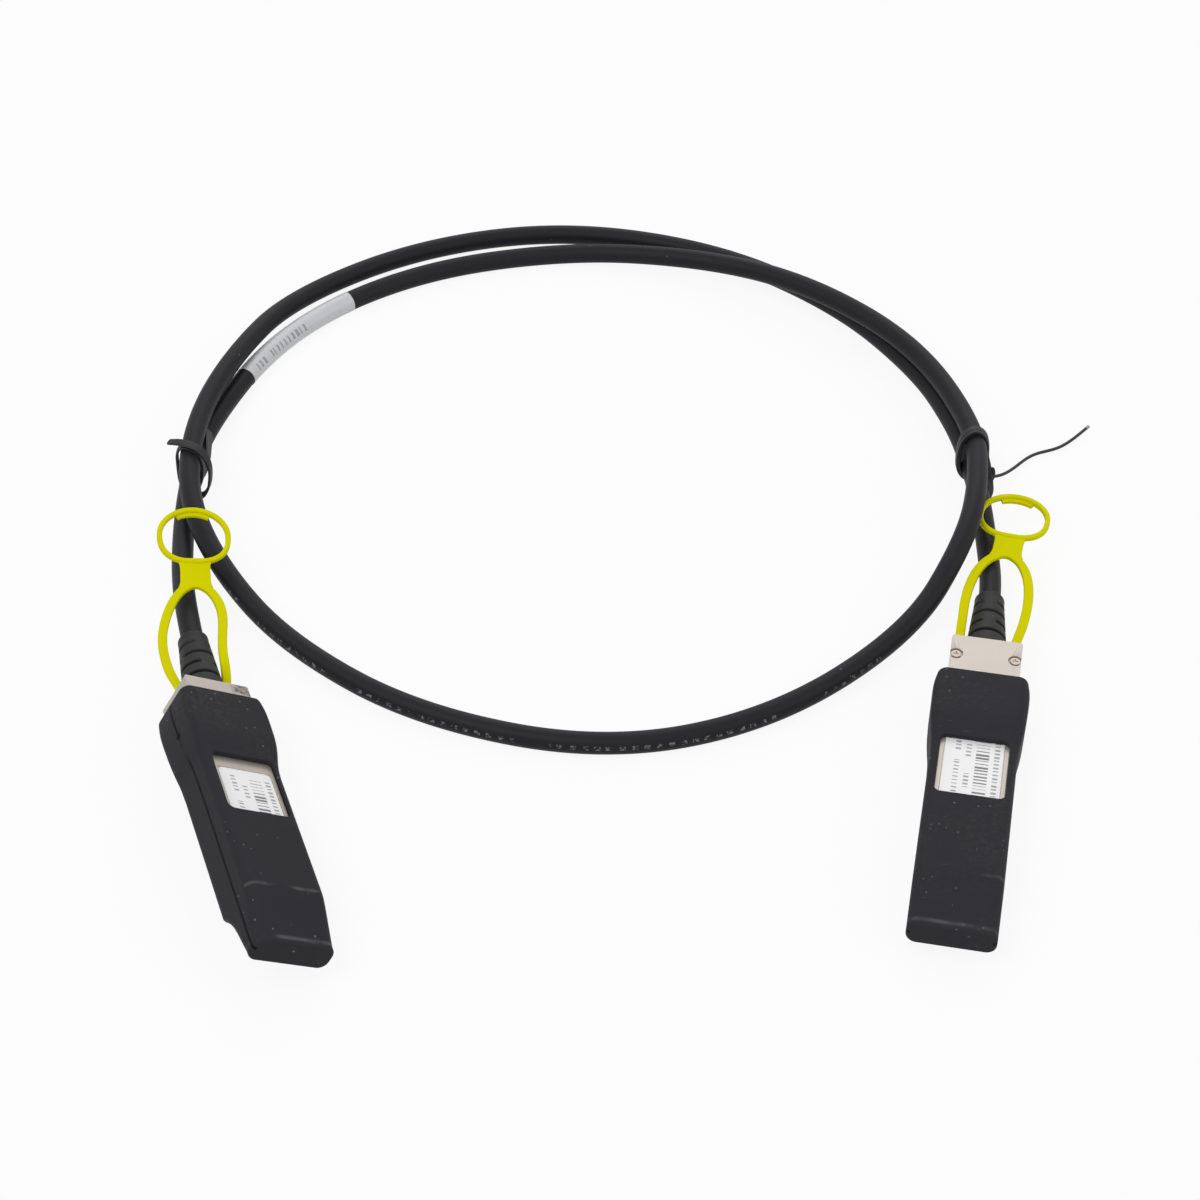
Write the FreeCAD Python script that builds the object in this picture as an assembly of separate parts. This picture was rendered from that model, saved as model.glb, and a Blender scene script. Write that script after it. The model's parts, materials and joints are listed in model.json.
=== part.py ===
import FreeCAD, Part
import math
import os

# Direct attach copper cable: about a metre of twinaxial cable with a pluggable
# transceiver-style connector moulded on each end, both noses in rubber dust caps,
# the cable wound into one and a half turns and held by two wire ties.
# Millimetres, +Z up, floor at Z = 0, origin under the middle of the two connectors.
#
# Connector frame: X runs from the back of the head (0) to the nose, Y across,
# Z up from the underside of the shell.

Vec = FreeCAD.Vector

# ---------------------------------------------------------------- driving sizes
# Die-cast shell
PLUG_LENGTH = 54.8          # back of the head to the nose
BODY_WIDTH = 13.4
BODY_HEIGHT = 8.5
HEAD_LENGTH = 10.0
HEAD_WIDTH = 13.7
HEAD_STEP = 0.95            # top of the head above the top of the body
FLOOR_THICKNESS = 1.1
SIDE_WALL = 1.1
HEAD_WALL = 0.75
BACK_WALL = 1.2
COVER_THICKNESS = 1.0
WEB_THICKNESS = 1.0         # step of the cover between head and body
CASTING_RADIUS = 0.5
COVER_RADIUS = 0.35

# Cover screws
SCREW_INSET_X = 5.1
SCREW_SPACING = 11.4
SCREW_HEAD_DIAMETER = 1.8
SCREW_HEAD_HEIGHT = 0.45
SCREW_SHANK_DIAMETER = 1.0
SCREW_LENGTH = 2.0
DRIVE_WIDTH = 0.22
DRIVE_LENGTH = 1.1
DRIVE_DEPTH = 0.2
COUNTERBORE_DIAMETER = 2.7
COUNTERBORE_DEPTH = 0.55
SCREW_BLOCK_LENGTH = 3.0
SCREW_BLOCK_DEPTH = 1.85
SCREW_BLOCK_WIDTH = 1.6     # inwards from the cavity's wall

# Circuit board and what is on it
BOARD_THICKNESS = 1.0
BOARD_WIDTH = 11.0
BOARD_START = 14.0
BOARD_SEAT_HEIGHT = 3.6
BOARD_SETBACK = 1.2         # board edge behind the nose
TONGUE_WIDTH = 9.2
TONGUE_LENGTH = 7.6
LEDGE_WIDTH = 0.7
CONTACT_COUNT = 10
CONTACT_PITCH = 0.8
CONTACT_WIDTH = 0.5
CONTACT_LENGTH = 3.2
CONTACT_THICKNESS = 0.06
CONTACT_SETBACK = 0.4
CHIP_LENGTH = 3.0
CHIP_WIDTH = 3.0
CHIP_HEIGHT = 0.9
CHIP_X = 26.0
CHIP_LEG_COUNT = 4
CHIP_LEG_PITCH = 0.65
CHIP_LEG_WIDTH = 0.25
CHIP_LEG_REACH = 0.7
CHIP_LEG_HEIGHT = 0.3
CAPACITOR_LENGTH = 1.0
CAPACITOR_WIDTH = 0.5
CAPACITOR_HEIGHT = 0.45
CAPACITOR_PITCH = 1.5
CAPACITOR_COUNT = 4
CAPACITOR_X = 40.0
RIB_START = 30.0            # cover ribs that hold the board down
RIB_LENGTH = 12.0
RIB_WIDTH = 0.6

# Cable, crimp and conductors
CABLE_DIAMETER = 4.4
CABLE_AXIS_HEIGHT = 4.75
JACKET_REACH = 6.0          # jacket end inside the head
FERRULE_THICKNESS = 0.45
FERRULE_SETBACK = 0.3
FERRULE_GAP = 0.3           # behind the flange of the strain relief
LEAD_DIAMETER = 0.76
LEAD_SPREAD = 1.1
LEAD_PAD_SPREAD = 1.9
LEAD_PAD_LENGTH = 2.6
LEAD_BEND_SETBACK = 0.3     # bend of a conductor short of the board's edge

# Moulded strain relief
BOOT_LENGTH = 17.0
BOOT_BASE_RADIUS = 4.15
BOOT_TIP_RADIUS = 3.0
BOOT_COLLAR_LENGTH = 1.6
BOOT_NECK_RADIUS = 3.0
BOOT_FLANGE_RADIUS = 3.55
BOOT_FLANGE_THICKNESS = 1.0
BOOT_NECK_OVERLAP = 0.5     # neck inside the tapered part
BOOT_SLOT_WIDTH = 0.7
BOOT_SLOT_FIRST = 3.8
BOOT_SLOT_PITCH = 3.2
BOOT_SLOT_COUNT = 4
BOOT_SLOT_WALL = 0.45       # rubber left under a slot
BOOT_WEB = 1.5              # half width of the webs beside the slots
BOOT_TIP_FILLET = 0.6

# Pull tab
TAB_PLANE_HEIGHT = 4.73
TAB_THICKNESS = 1.3
TAB_BAND = 1.9
TAB_STRAP_INNER = 4.3       # half distance between the straps in the head
TAB_STRAP_WIDTH = 1.7
TAB_STRAP_REACH = 2.5
TAB_BLEND_START = 0.5
TAB_BLEND_MIDDLE = 5.0
TAB_BLEND_END = 10.0
TAB_BLEND_SHARE = 0.55      # share of the full attitude at the blend's middle
TAB_OVAL_START_HALF = 6.65
TAB_OVAL_MAX_HALF = 7.05
TAB_OVAL_MAX_AT = 15.5
TAB_BEND_HALF = 6.35        # outline between its widest place and the shoulder
TAB_BEND_AT = 22.6
TAB_INNER_BEND_HALF = 4.4   # the oval's outline beside that
TAB_INNER_BEND_AT = 21.8
TAB_CROWN_HALF = 3.1        # the oval's outline near its top
TAB_CROWN_AT = 24.9
TAB_SHOULDER_HALF = 4.35
TAB_SHOULDER_AT = 26.9
TAB_OVAL_TOP = 27.4
TAB_NECK_WIDTH = 5.97
TAB_NECK_START = 29.0
RING_CENTRE = 39.7
RING_HALF_LENGTH = 7.0
RING_HALF_WIDTH = 7.34
RING_BAND = 1.05
RING_RISE = 0.15
RING_OVERLAP = 1.2          # neck inside the ring's outline
GRIP_LIP_WIDTH = 6.7
GRIP_LIP_REACH = 1.0
GRIP_LIP_DROP = 0.5
GRIP_LIP_TOP = 0.22         # above the tab's middle plane

# Release slider and its spring
SLIDER_TRAVEL = 2.8
SLIDER_THICKNESS = 0.4
SLIDER_HEIGHT = 3.0
SLIDER_TONGUE_HEIGHT = 0.9
SLIDER_TONGUE_REACH = 3.3   # inside the strap
SLIDER_INSET = 0.15         # outer face inside the shell's side
SLIDER_FLOOR = 0.05         # under face above the shell's underside
SLIDER_JOGGLE_START = 4.4
SLIDER_JOGGLE_END = 7.4
SLIDER_JOGGLE_OVERLAP = 0.2
SLIDER_END = 22.0
SLIDER_ARM_BOTTOM = 3.2
SLIDER_LEG_START = 12.0
SLIDER_LEG_LENGTH = 3.0
SLIDER_BAR_LENGTH = 2.6
SLIDER_PRONG_WIDTH = 3.4
SLIDER_RAMP_LENGTH = 2.0
SLIDER_RUN_OUT = 3.5        # way in the shell ahead of the slider
SPRING_STRIP_WIDTH = 0.34
SPRING_THICKNESS = 0.34
SPRING_HALF_WIDTH = 2.4
SPRING_BENDS = 6
RECESS_DEPTH = 0.55
RECESS_START = 5.5
RECESS_SPRING_WIDTH = 6.4
RECESS_MARGIN = 0.5
LATCH_BOSS_START = 15.2
LATCH_BOSS_LENGTH = 3.3
LATCH_BOSS_WIDTH = 4.0
LATCH_BOSS_DROP = 0.6
LATCH_BOSS_FLAT = 0.5
LATCH_BOSS_LIP = 0.1

# Shielding collar
COLLAR_START = 10.6
COLLAR_LENGTH = 3.8
COLLAR_THICKNESS = 0.2
COLLAR_SKIRT = 1.6          # height of the sides above the underside
COLLAR_SLOT = 0.35
COLLAR_TOP_FINGERS = 5
COLLAR_SIDE_FINGERS = 2
COLLAR_BAND = 1.0

# Product label on the cover
LABEL_START = 23.5
LABEL_LENGTH = 21.5
LABEL_WIDTH = 11.0
LABEL_THICKNESS = 0.12
LABEL_POCKET_DEPTH = 0.15
LABEL_MARGIN = 0.15

# Rubber dust cap, measured from its mouth
CAP_SEAT = 3.8              # mouth past the back of the head when the cap is fully home
CAP_END_ROOM = 0.3          # room ahead of what the cap goes over
CAP_NOSE_SETBACK = 1.7      # end of the straight barrel behind the end of the bore
CAP_NOSE_LENGTH = 10.8
CAP_TONGUE_LENGTH = 1.3
CAP_FLARE_LENGTH = 20.7
CAP_HALF_WIDTH = 8.15
CAP_FLARE_HALF_WIDTH = 9.2
CAP_TONGUE_HALF_WIDTH = 8.1
CAP_BOTTOM = -1.5
CAP_ROOF = 0.9              # barrel top above the body
CAP_FLARE_ROOF = 1.15       # flare top above the head
CAP_TONGUE_BOTTOM = 1.9
CAP_TONGUE_TOP = 7.2
CAP_CORNER_RADIUS = 2.0
CAP_END_RADIUS = 0.8
CAP_FIT = 0.15              # rubber to shell
CAP_UNDER_FIT = 0.1
CAP_HEAD_ROOM = 0.25        # room beside head and collar in the mouth
CAP_LATCH_ROOM = 0.2
CAP_GROOVE_WIDTH = 5.0
CAP_GROOVE_ROOM = 0.8
CAP_WINDOW_START = 17.0
CAP_WINDOW_LENGTH = 14.3
CAP_WINDOW_WIDTH = 13.2
CAP_WINDOW_RADIUS = 1.3
# Flare sections: share of its length, of its extra half width and of its extra height
CAP_FLARE_SHARES = [(0.0, 0.43, 0.93), (0.11, 0.81, 1.0), (0.23, 1.0, 1.0), (0.4, 0.95, 1.0),
                    (0.55, 0.81, 0.964), (0.7, 0.5, 0.643), (0.85, 0.143, 0.143), (1.0, 0.0, 0.0)]
# Nose sections: share of its length, then of the way from barrel to tongue at the top,
# at the bottom and at the sides
CAP_NOSE_SHARES = [(0.0, 0.0, 0.0, 0.0), (0.1, 0.06, 0.24, 0.02), (0.25, 0.2, 0.5, 0.1),
                   (0.45, 0.42, 0.7, 0.3), (0.7, 0.7, 0.84, 0.65), (1.0, 1.0, 1.0, 1.0)]

# Wire ties and the cable's wrap label
TIE_WIDTH = 2.0
TIE_THICKNESS = 0.7
TIE_TAIL_RADIUS = 0.45
KNOT_RADIUS = 1.1
WRAP_THICKNESS = 0.12
WRAP_EXTRA = 1.8            # straight run of the wrap past the bend

# Cutting tools and tests
OVERCUT = 1.0               # how far a tool runs past what it cuts
NEAR = 0.01                 # closer than this counts as the same place
ARC_SHARE = 0.45            # share of the shorter run that an arc takes at a corner

# Clearances
SLIDING_FIT = 0.1
SPRING_FIT = 0.02
TONGUE_FIT = 0.02
SCREW_FIT = 0.05
BOARD_FIT = 0.1
NECK_FIT = 0.05
BORE_FIT = 0.05
WRAP_FIT = 0.03
LEAD_FIT = 0.02
TIE_FIT = 0.15

# Where each connector lies: head position, heading and roll of its frame, how far
# the cap's mouth is past the back of the head, sideways lean and droop of the strain
# relief, and the swing, lift and twist of the pull tab.
CONNECTORS = {
    "left": {
        "at": (-79.67, 0.78, 5.52), "heading": -70.4, "roll": -33.1,
        "cap_at": CAP_SEAT, "lean": 5.9, "droop": 0.0, "swing": 4.8, "lift": 12.5, "twist": 21.8,
    },
    "right": {
        "at": (73.51, 16.30, 1.5), "heading": -100.9, "roll": 0.0,
        "cap_at": 9.85, "lean": -1.5, "droop": 4.5, "swing": 3.5, "lift": 1.7, "twist": 0.0,
    },
}

# Route of the cable from the left strain relief to the right one: corners of the
# straight runs, each rounded by an arc.
ROUTE = [
    (-81.52, 18.07, 8.54),
    (-84.17, 28.21, 7.95),
    (-86.3, 39.3, 6.2),
    (-87.9, 52.1, 4.2),
    (-88.8, 66.4, 3.1),
    (-88.3, 87.1, 3.1),
    (-73.7, 123.2, 2.6),
    (-45.3, 145.9, 2.3),
    (-9.1, 154.4, 2.3),
    (22.7, 148.1, 4.6),
    (45.6, 133.9, 8.0),
    (67.9, 112.7, 7.5),
    (78.4, 82.8, 8.1),
    (76.5, 61.3, 10.6),
    (72.0, 45.2, 10.0),
    (60.0, 25.6, 3.6),
    (31.8, 3.0, 2.3),
    (-1.1, -5.7, 2.4),
    (-37.4, 3.9, 2.3),
    (-64.0, 23.2, 2.6),
    (-78.8, 40.8, 6.2),
    (-87.7, 60.4, 9.0),
    (-88.8, 85.2, 8.0),
    (-83.1, 107.9, 7.6),
    (-72.9, 133.9, 3.6),
    (-44.1, 155.5, 2.3),
    (-9.4, 162.5, 2.4),
    (26.7, 153.5, 2.3),
    (53.3, 133.0, 2.3),
    (69.0, 109.0, 2.7),
    (75.1, 90.4, 3.1),
    (77.4, 75.7, 3.1),
    (78.0, 64.3, 3.1),
    (77.95, 55.5, 3.2),
    (77.8, 46.4, 3.2),
    (77.2, 38.8, 4.4),
    (76.28, 33.08, 4.92),
]
WRAP_BEND = ROUTE[5:8]      # the bend under the wrap label

# Ties: centre of the band, heights of the two strands, heading of the strands and
# how far the band leans off square, then the corners of the loose ends.
TIES = {
    "left": {
        "at": (-88.4, 76.5), "low": 3.1, "high": 8.45, "heading": 90.0, "skew": -20.0,
        "room": 0.9, "knots": [],
        "tails": [
            [(-91.8, 77.7, 8.0), (-93.3, 78.3, 9.8), (-96.0, 79.2, 10.3)],
            [(-85.0, 75.3, 5.0), (-84.6, 79.5, 4.6), (-84.5, 85.5, 4.2)],
        ],
    },
    "right": {
        "at": (77.4, 79.5), "low": 3.1, "high": 8.55, "heading": 97.0, "skew": -15.0,
        "room": 1.05, "knots": [((81.2, 78.9, 3.9), (83.0, 78.4, 3.0))],
        "tails": [
            [(81.9, 78.6, 3.3), (86.0, 79.5, 1.8), (92.5, 82.6, 0.9), (99.0, 85.3, 0.6), (106.0, 91.2, 1.2)],
        ],
    },
}

# ---------------------------------------------------------------- derived sizes
HEAD_HEIGHT = BODY_HEIGHT + HEAD_STEP
HEAD_HALF = HEAD_WIDTH / 2
BODY_HALF = BODY_WIDTH / 2
HEAD_TOP = HEAD_HEIGHT - COVER_THICKNESS
BODY_TOP = BODY_HEIGHT - COVER_THICKNESS
WEB_BACK = HEAD_LENGTH - WEB_THICKNESS
HEAD_CAVITY_HALF = HEAD_HALF - HEAD_WALL
BODY_CAVITY_HALF = BODY_HALF - SIDE_WALL
LEDGE_HALF = BODY_CAVITY_HALF - LEDGE_WIDTH
STRAP_OUTER = TAB_STRAP_INNER + TAB_STRAP_WIDTH
TONGUE_MID = TAB_STRAP_INNER + TAB_STRAP_WIDTH / 2
SLIDER_OUTER = BODY_HALF - SLIDER_INSET
SLIDER_INNER = SLIDER_OUTER - SLIDER_THICKNESS
SLIDER_ARM_TOP = SLIDER_ARM_BOTTOM + SLIDER_HEIGHT
GROOVE_HALF = SLIDER_INNER - SLIDING_FIT
GROOVE_TOP = SLIDER_ARM_TOP + 3 * SLIDING_FIT
GROOVE_END = SLIDER_END + SLIDER_RUN_OUT
RECESS_FRONT = SLIDER_END + RECESS_MARGIN
BOARD_TOP = BOARD_SEAT_HEIGHT + BOARD_THICKNESS
BOARD_END = PLUG_LENGTH - BOARD_SETBACK
CABLE_RADIUS = CABLE_DIAMETER / 2
BOOT_BORE_RADIUS = CABLE_RADIUS + BORE_FIT
BOOT_NECK_LENGTH = BACK_WALL
FERRULE_START = BACK_WALL + BOOT_FLANGE_THICKNESS + FERRULE_GAP
CAP_TOP = BODY_HEIGHT + CAP_ROOF
CAP_FLARE_TOP = HEAD_HEIGHT + CAP_FLARE_ROOF
CAP_BORE_DEPTH = PLUG_LENGTH - CAP_SEAT + CAP_END_ROOM
CAP_MOUTH_DEPTH = COLLAR_START + COLLAR_LENGTH - CAP_SEAT + CAP_END_ROOM
CAP_GROOVE_LENGTH = LATCH_BOSS_START + LATCH_BOSS_LENGTH - CAP_SEAT + CAP_GROOVE_ROOM
CAP_BARREL_END = CAP_BORE_DEPTH - CAP_NOSE_SETBACK
CAP_NOSE_END = CAP_BARREL_END + CAP_NOSE_LENGTH
CAP_LENGTH = CAP_NOSE_END + CAP_TONGUE_LENGTH


# ---------------------------------------------------------------- basic shapes
def block(x0, x1, y0, y1, z0, z1):
    """Box between two corners."""
    return Part.makeBox(x1 - x0, y1 - y0, z1 - z0, Vec(x0, y0, z0))


def fuse_all(shapes):
    """One solid from several that touch or overlap."""
    return shapes[0].multiFuse(shapes[1:]).removeSplitter()


def both_sides(shape):
    """The shape and its mirror image across the connector's middle plane."""
    return [shape, shape.mirror(Vec(0, 0, 0), Vec(0, 1, 0))]


def edges_along(shape, axis):
    """Straight edges of a shape that run along a coordinate axis."""
    picked = []
    for edge in shape.Edges:
        if len(edge.Vertexes) != 2:
            continue
        run = edge.Vertexes[1].Point - edge.Vertexes[0].Point
        if run.normalize().cross(axis).Length < NEAR:
            picked.append(edge)
    return picked


def upper_edges(shape):
    """Lengthwise edges at the level of the body's top or above it."""
    return [e for e in edges_along(shape, Vec(1, 0, 0)) if e.CenterOfMass.z > BODY_HEIGHT - NEAR]


def rod(start, axis, radius, length):
    """Cylinder from a point along an axis."""
    return Part.makeCylinder(radius, length, start, axis)


def rounded_section(x, half_width, bottom, top, radius):
    """Rounded rectangle across the connector's length."""
    w, r = half_width, radius
    corners = [(w, bottom, -1, 1), (w, top, -1, -1), (-w, top, 1, -1), (-w, bottom, 1, 1)]
    edges = []
    last = None
    first = None
    for index, (y, z, sy, sz) in enumerate(corners):
        centre = Vec(x, y + sy * r, z + sz * r)
        along_z = Vec(x, y, z + sz * r)
        along_y = Vec(x, y + sy * r, z)
        middle = centre + Vec(0, -sy, -sz).normalize() * r
        start, end = (along_y, along_z) if index % 2 == 0 else (along_z, along_y)
        if last is not None:
            edges.append(Part.LineSegment(last, start).toShape())
        edges.append(Part.Arc(start, middle, end).toShape())
        first = first or start
        last = end
    edges.append(Part.LineSegment(last, first).toShape())
    return Part.Wire(edges)


def loft(wires):
    """Smooth solid through a row of closed sections."""
    return Part.makeLoft(wires, True, False)


def prism(points, thickness_axis, thickness):
    """Flat polygon given a thickness."""
    outline = Part.makePolygon([Vec(*p) for p in points] + [Vec(*points[0])])
    return Part.Face(outline).extrude(thickness_axis * thickness)


# ---------------------------------------------------------------- die-cast shell
def screw_places():
    """Centres of the two cover screws."""
    return [(SCREW_INSET_X, side * SCREW_SPACING / 2) for side in (1, -1)]


def lower_housing():
    """Cast tray: head pocket, board channel with ledges, slider ways, latch boss."""
    head = block(0, WEB_BACK, -HEAD_HALF, HEAD_HALF, 0, HEAD_TOP)
    head = head.makeFillet(CASTING_RADIUS, edges_along(head, Vec(0, 0, 1))[:2])
    step = block(WEB_BACK - CASTING_RADIUS, HEAD_LENGTH, -HEAD_HALF, HEAD_HALF, 0, BODY_TOP)
    body = block(WEB_BACK, PLUG_LENGTH, -BODY_HALF, BODY_HALF, 0, BODY_TOP)
    body = body.makeFillet(CASTING_RADIUS, edges_along(body, Vec(0, 0, 1))[2:])
    tray = fuse_all([head, step, body])

    front = PLUG_LENGTH + OVERCUT
    open_top = HEAD_HEIGHT
    tray = tray.cut(block(BACK_WALL, HEAD_LENGTH - SIDE_WALL, -HEAD_CAVITY_HALF, HEAD_CAVITY_HALF,
                          FLOOR_THICKNESS, open_top))
    tray = tray.cut(block(BACK_WALL + OVERCUT, front, -BODY_CAVITY_HALF, BODY_CAVITY_HALF,
                          BOARD_SEAT_HEIGHT, open_top))
    tray = tray.cut(block(BACK_WALL + OVERCUT, front, -LEDGE_HALF, LEDGE_HALF,
                          FLOOR_THICKNESS, open_top))

    bosses = []
    for x, y in screw_places():
        side = math.copysign(1, y)
        inner = side * (HEAD_CAVITY_HALF - SCREW_BLOCK_WIDTH)
        outer = side * HEAD_HALF
        bosses.append(block(x - SCREW_BLOCK_LENGTH / 2, x + SCREW_BLOCK_LENGTH / 2,
                            min(inner, outer), max(inner, outer),
                            HEAD_TOP - SCREW_BLOCK_DEPTH, HEAD_TOP))
    tray = fuse_all([tray] + bosses)
    for x, y in screw_places():
        tray = tray.cut(rod(Vec(x, y, HEAD_TOP - SCREW_BLOCK_DEPTH - OVERCUT), Vec(0, 0, 1),
                            SCREW_SHANK_DIAMETER / 2 + SCREW_FIT, SCREW_BLOCK_DEPTH + 2 * OVERCUT))

    tray = tray.cut(rod(Vec(-OVERCUT, 0, CABLE_AXIS_HEIGHT), Vec(1, 0, 0),
                        BOOT_NECK_RADIUS + NECK_FIT, BACK_WALL + 2 * OVERCUT))
    slot = block(-OVERCUT, BACK_WALL + OVERCUT, TAB_STRAP_INNER - SLIDING_FIT, STRAP_OUTER + SLIDING_FIT,
                 TAB_PLANE_HEIGHT - TAB_THICKNESS / 2 - SLIDING_FIT,
                 TAB_PLANE_HEIGHT + TAB_THICKNESS / 2 + SLIDING_FIT)
    port = block(SLIDER_JOGGLE_START - SLIDER_TRAVEL, HEAD_LENGTH + SLIDING_FIT,
                 HEAD_CAVITY_HALF - SLIDING_FIT, HEAD_HALF + OVERCUT,
                 SLIDER_ARM_BOTTOM - 3 * SLIDING_FIT, GROOVE_TOP)
    way_start = HEAD_LENGTH - SIDE_WALL - SLIDING_FIT
    beside = HEAD_HALF + OVERCUT
    way = block(way_start, GROOVE_END, GROOVE_HALF, beside, -OVERCUT, GROOVE_TOP)
    tray = tray.cut(block(way_start, RECESS_FRONT, -beside, beside, -OVERCUT, RECESS_DEPTH))
    tray = tray.cut(block(RECESS_START, HEAD_LENGTH, -RECESS_SPRING_WIDTH / 2, RECESS_SPRING_WIDTH / 2,
                          -OVERCUT, RECESS_DEPTH))
    for tool in both_sides(slot) + both_sides(port) + both_sides(way):
        tray = tray.cut(tool)
    return fuse_all([tray, latch_boss()])


def latch_boss():
    """Wedge under the tray that snaps into the cage's latch."""
    x0 = LATCH_BOSS_START
    x1 = x0 + LATCH_BOSS_LENGTH
    y = LATCH_BOSS_WIDTH / 2
    top = RECESS_DEPTH + SLIDING_FIT
    outline = [(x0, -y, top), (x0, -y, -LATCH_BOSS_DROP), (x0 + LATCH_BOSS_FLAT, -y, -LATCH_BOSS_DROP),
               (x1, -y, LATCH_BOSS_LIP), (x1, -y, top)]
    return prism(outline, Vec(0, 1, 0), LATCH_BOSS_WIDTH)


def top_cover():
    """Cover plate in two levels, with counterbores, label pocket and board ribs."""
    head = block(0, HEAD_LENGTH, -HEAD_HALF, HEAD_HALF, HEAD_TOP, HEAD_HEIGHT)
    upright = edges_along(head, Vec(0, 0, 1))[:2]
    head = head.makeFillet(CASTING_RADIUS, upright)
    web = block(WEB_BACK, HEAD_LENGTH, -HEAD_HALF, HEAD_HALF, BODY_TOP, HEAD_HEIGHT)
    body = block(WEB_BACK, PLUG_LENGTH, -BODY_HALF, BODY_HALF, BODY_TOP, BODY_HEIGHT)
    body = body.makeFillet(COVER_RADIUS, upper_edges(body))
    ribs = []
    for side in (1, -1):
        outer = side * (BOARD_WIDTH / 2 - BOARD_FIT)
        inner = outer - side * RIB_WIDTH
        ribs.append(block(RIB_START, RIB_START + RIB_LENGTH, min(inner, outer), max(inner, outer),
                          BOARD_TOP, BODY_TOP + BOARD_FIT))
    cover = fuse_all([head, web, body] + ribs)
    for x, y in screw_places():
        cover = cover.cut(rod(Vec(x, y, HEAD_HEIGHT - COUNTERBORE_DEPTH), Vec(0, 0, 1),
                              COUNTERBORE_DIAMETER / 2, COUNTERBORE_DEPTH + OVERCUT))
        cover = cover.cut(rod(Vec(x, y, HEAD_TOP - OVERCUT), Vec(0, 0, 1),
                              SCREW_SHANK_DIAMETER / 2 + SCREW_FIT, COVER_THICKNESS + 2 * OVERCUT))
    pocket = block(LABEL_START - LABEL_MARGIN, LABEL_START + LABEL_LENGTH + LABEL_MARGIN,
                   -LABEL_WIDTH / 2 - LABEL_MARGIN, LABEL_WIDTH / 2 + LABEL_MARGIN,
                   BODY_HEIGHT - LABEL_POCKET_DEPTH, BODY_HEIGHT + OVERCUT)
    return cover.cut(pocket)


def cover_screws():
    """Two countersunk-flush screws with a cross drive."""
    seat = HEAD_HEIGHT - COUNTERBORE_DEPTH
    screws = []
    for x, y in screw_places():
        head = rod(Vec(x, y, seat), Vec(0, 0, 1), SCREW_HEAD_DIAMETER / 2, SCREW_HEAD_HEIGHT)
        shank = rod(Vec(x, y, seat - SCREW_LENGTH), Vec(0, 0, 1), SCREW_SHANK_DIAMETER / 2, SCREW_LENGTH)
        screw = fuse_all([head, shank])
        top = seat + SCREW_HEAD_HEIGHT
        for long_x, long_y in ((DRIVE_LENGTH, DRIVE_WIDTH), (DRIVE_WIDTH, DRIVE_LENGTH)):
            screw = screw.cut(block(x - long_x / 2, x + long_x / 2, y - long_y / 2, y + long_y / 2,
                                    top - DRIVE_DEPTH, top + OVERCUT))
        screws.append(screw)
    return screws


def product_label():
    """Label in the cover's pocket."""
    floor = BODY_HEIGHT - LABEL_POCKET_DEPTH
    plate = block(LABEL_START, LABEL_START + LABEL_LENGTH, -LABEL_WIDTH / 2, LABEL_WIDTH / 2,
                  floor, floor + LABEL_THICKNESS)
    return plate.makeFillet(CASTING_RADIUS, edges_along(plate, Vec(0, 0, 1)))


def shield_collar():
    """Sprung sheet collar over top and sides, its edges cut into fingers."""
    x0, x1 = COLLAR_START, COLLAR_START + COLLAR_LENGTH
    outer_half = BODY_HALF + COLLAR_THICKNESS
    outer_top = BODY_HEIGHT + COLLAR_THICKNESS
    shell = block(x0, x1, -outer_half, outer_half, COLLAR_SKIRT, outer_top)
    shell = shell.makeFillet(COVER_RADIUS + COLLAR_THICKNESS, upper_edges(shell))
    core = block(x0 - OVERCUT, x1 + OVERCUT, -BODY_HALF, BODY_HALF, COLLAR_SKIRT - OVERCUT, BODY_HEIGHT)
    core = core.makeFillet(COVER_RADIUS, upper_edges(core))
    collar = shell.cut(core)
    finger_start = x0 + COLLAR_BAND
    finger_end = x1 + OVERCUT
    pitch = BODY_WIDTH / COLLAR_TOP_FINGERS
    for index in range(1, COLLAR_TOP_FINGERS):
        y = -BODY_HALF + index * pitch
        collar = collar.cut(block(finger_start, finger_end, y - COLLAR_SLOT / 2, y + COLLAR_SLOT / 2,
                                  BODY_HEIGHT - OVERCUT, outer_top + OVERCUT))
    side_pitch = (BODY_HEIGHT - COLLAR_SKIRT) / COLLAR_SIDE_FINGERS
    for index in range(1, COLLAR_SIDE_FINGERS):
        z = COLLAR_SKIRT + index * side_pitch
        collar = collar.cut(block(finger_start, finger_end, -outer_half - OVERCUT, outer_half + OVERCUT,
                                  z - COLLAR_SLOT / 2, z + COLLAR_SLOT / 2))
    return collar


# ---------------------------------------------------------------- board and leads
def circuit_board():
    """Paddle board: wide part on the ledges, narrow edge-card tongue at the nose."""
    wide_end = BOARD_END - TONGUE_LENGTH
    wide = block(BOARD_START, wide_end, -BOARD_WIDTH / 2, BOARD_WIDTH / 2, BOARD_SEAT_HEIGHT, BOARD_TOP)
    tongue = block(wide_end - OVERCUT, BOARD_END, -TONGUE_WIDTH / 2, TONGUE_WIDTH / 2,
                   BOARD_SEAT_HEIGHT, BOARD_TOP)
    front = [e for e in edges_along(tongue, Vec(0, 1, 0)) if e.CenterOfMass.x > BOARD_END - NEAR]
    tongue = tongue.makeChamfer(BOARD_THICKNESS / 4, front)
    return fuse_all([wide, tongue])


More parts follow.
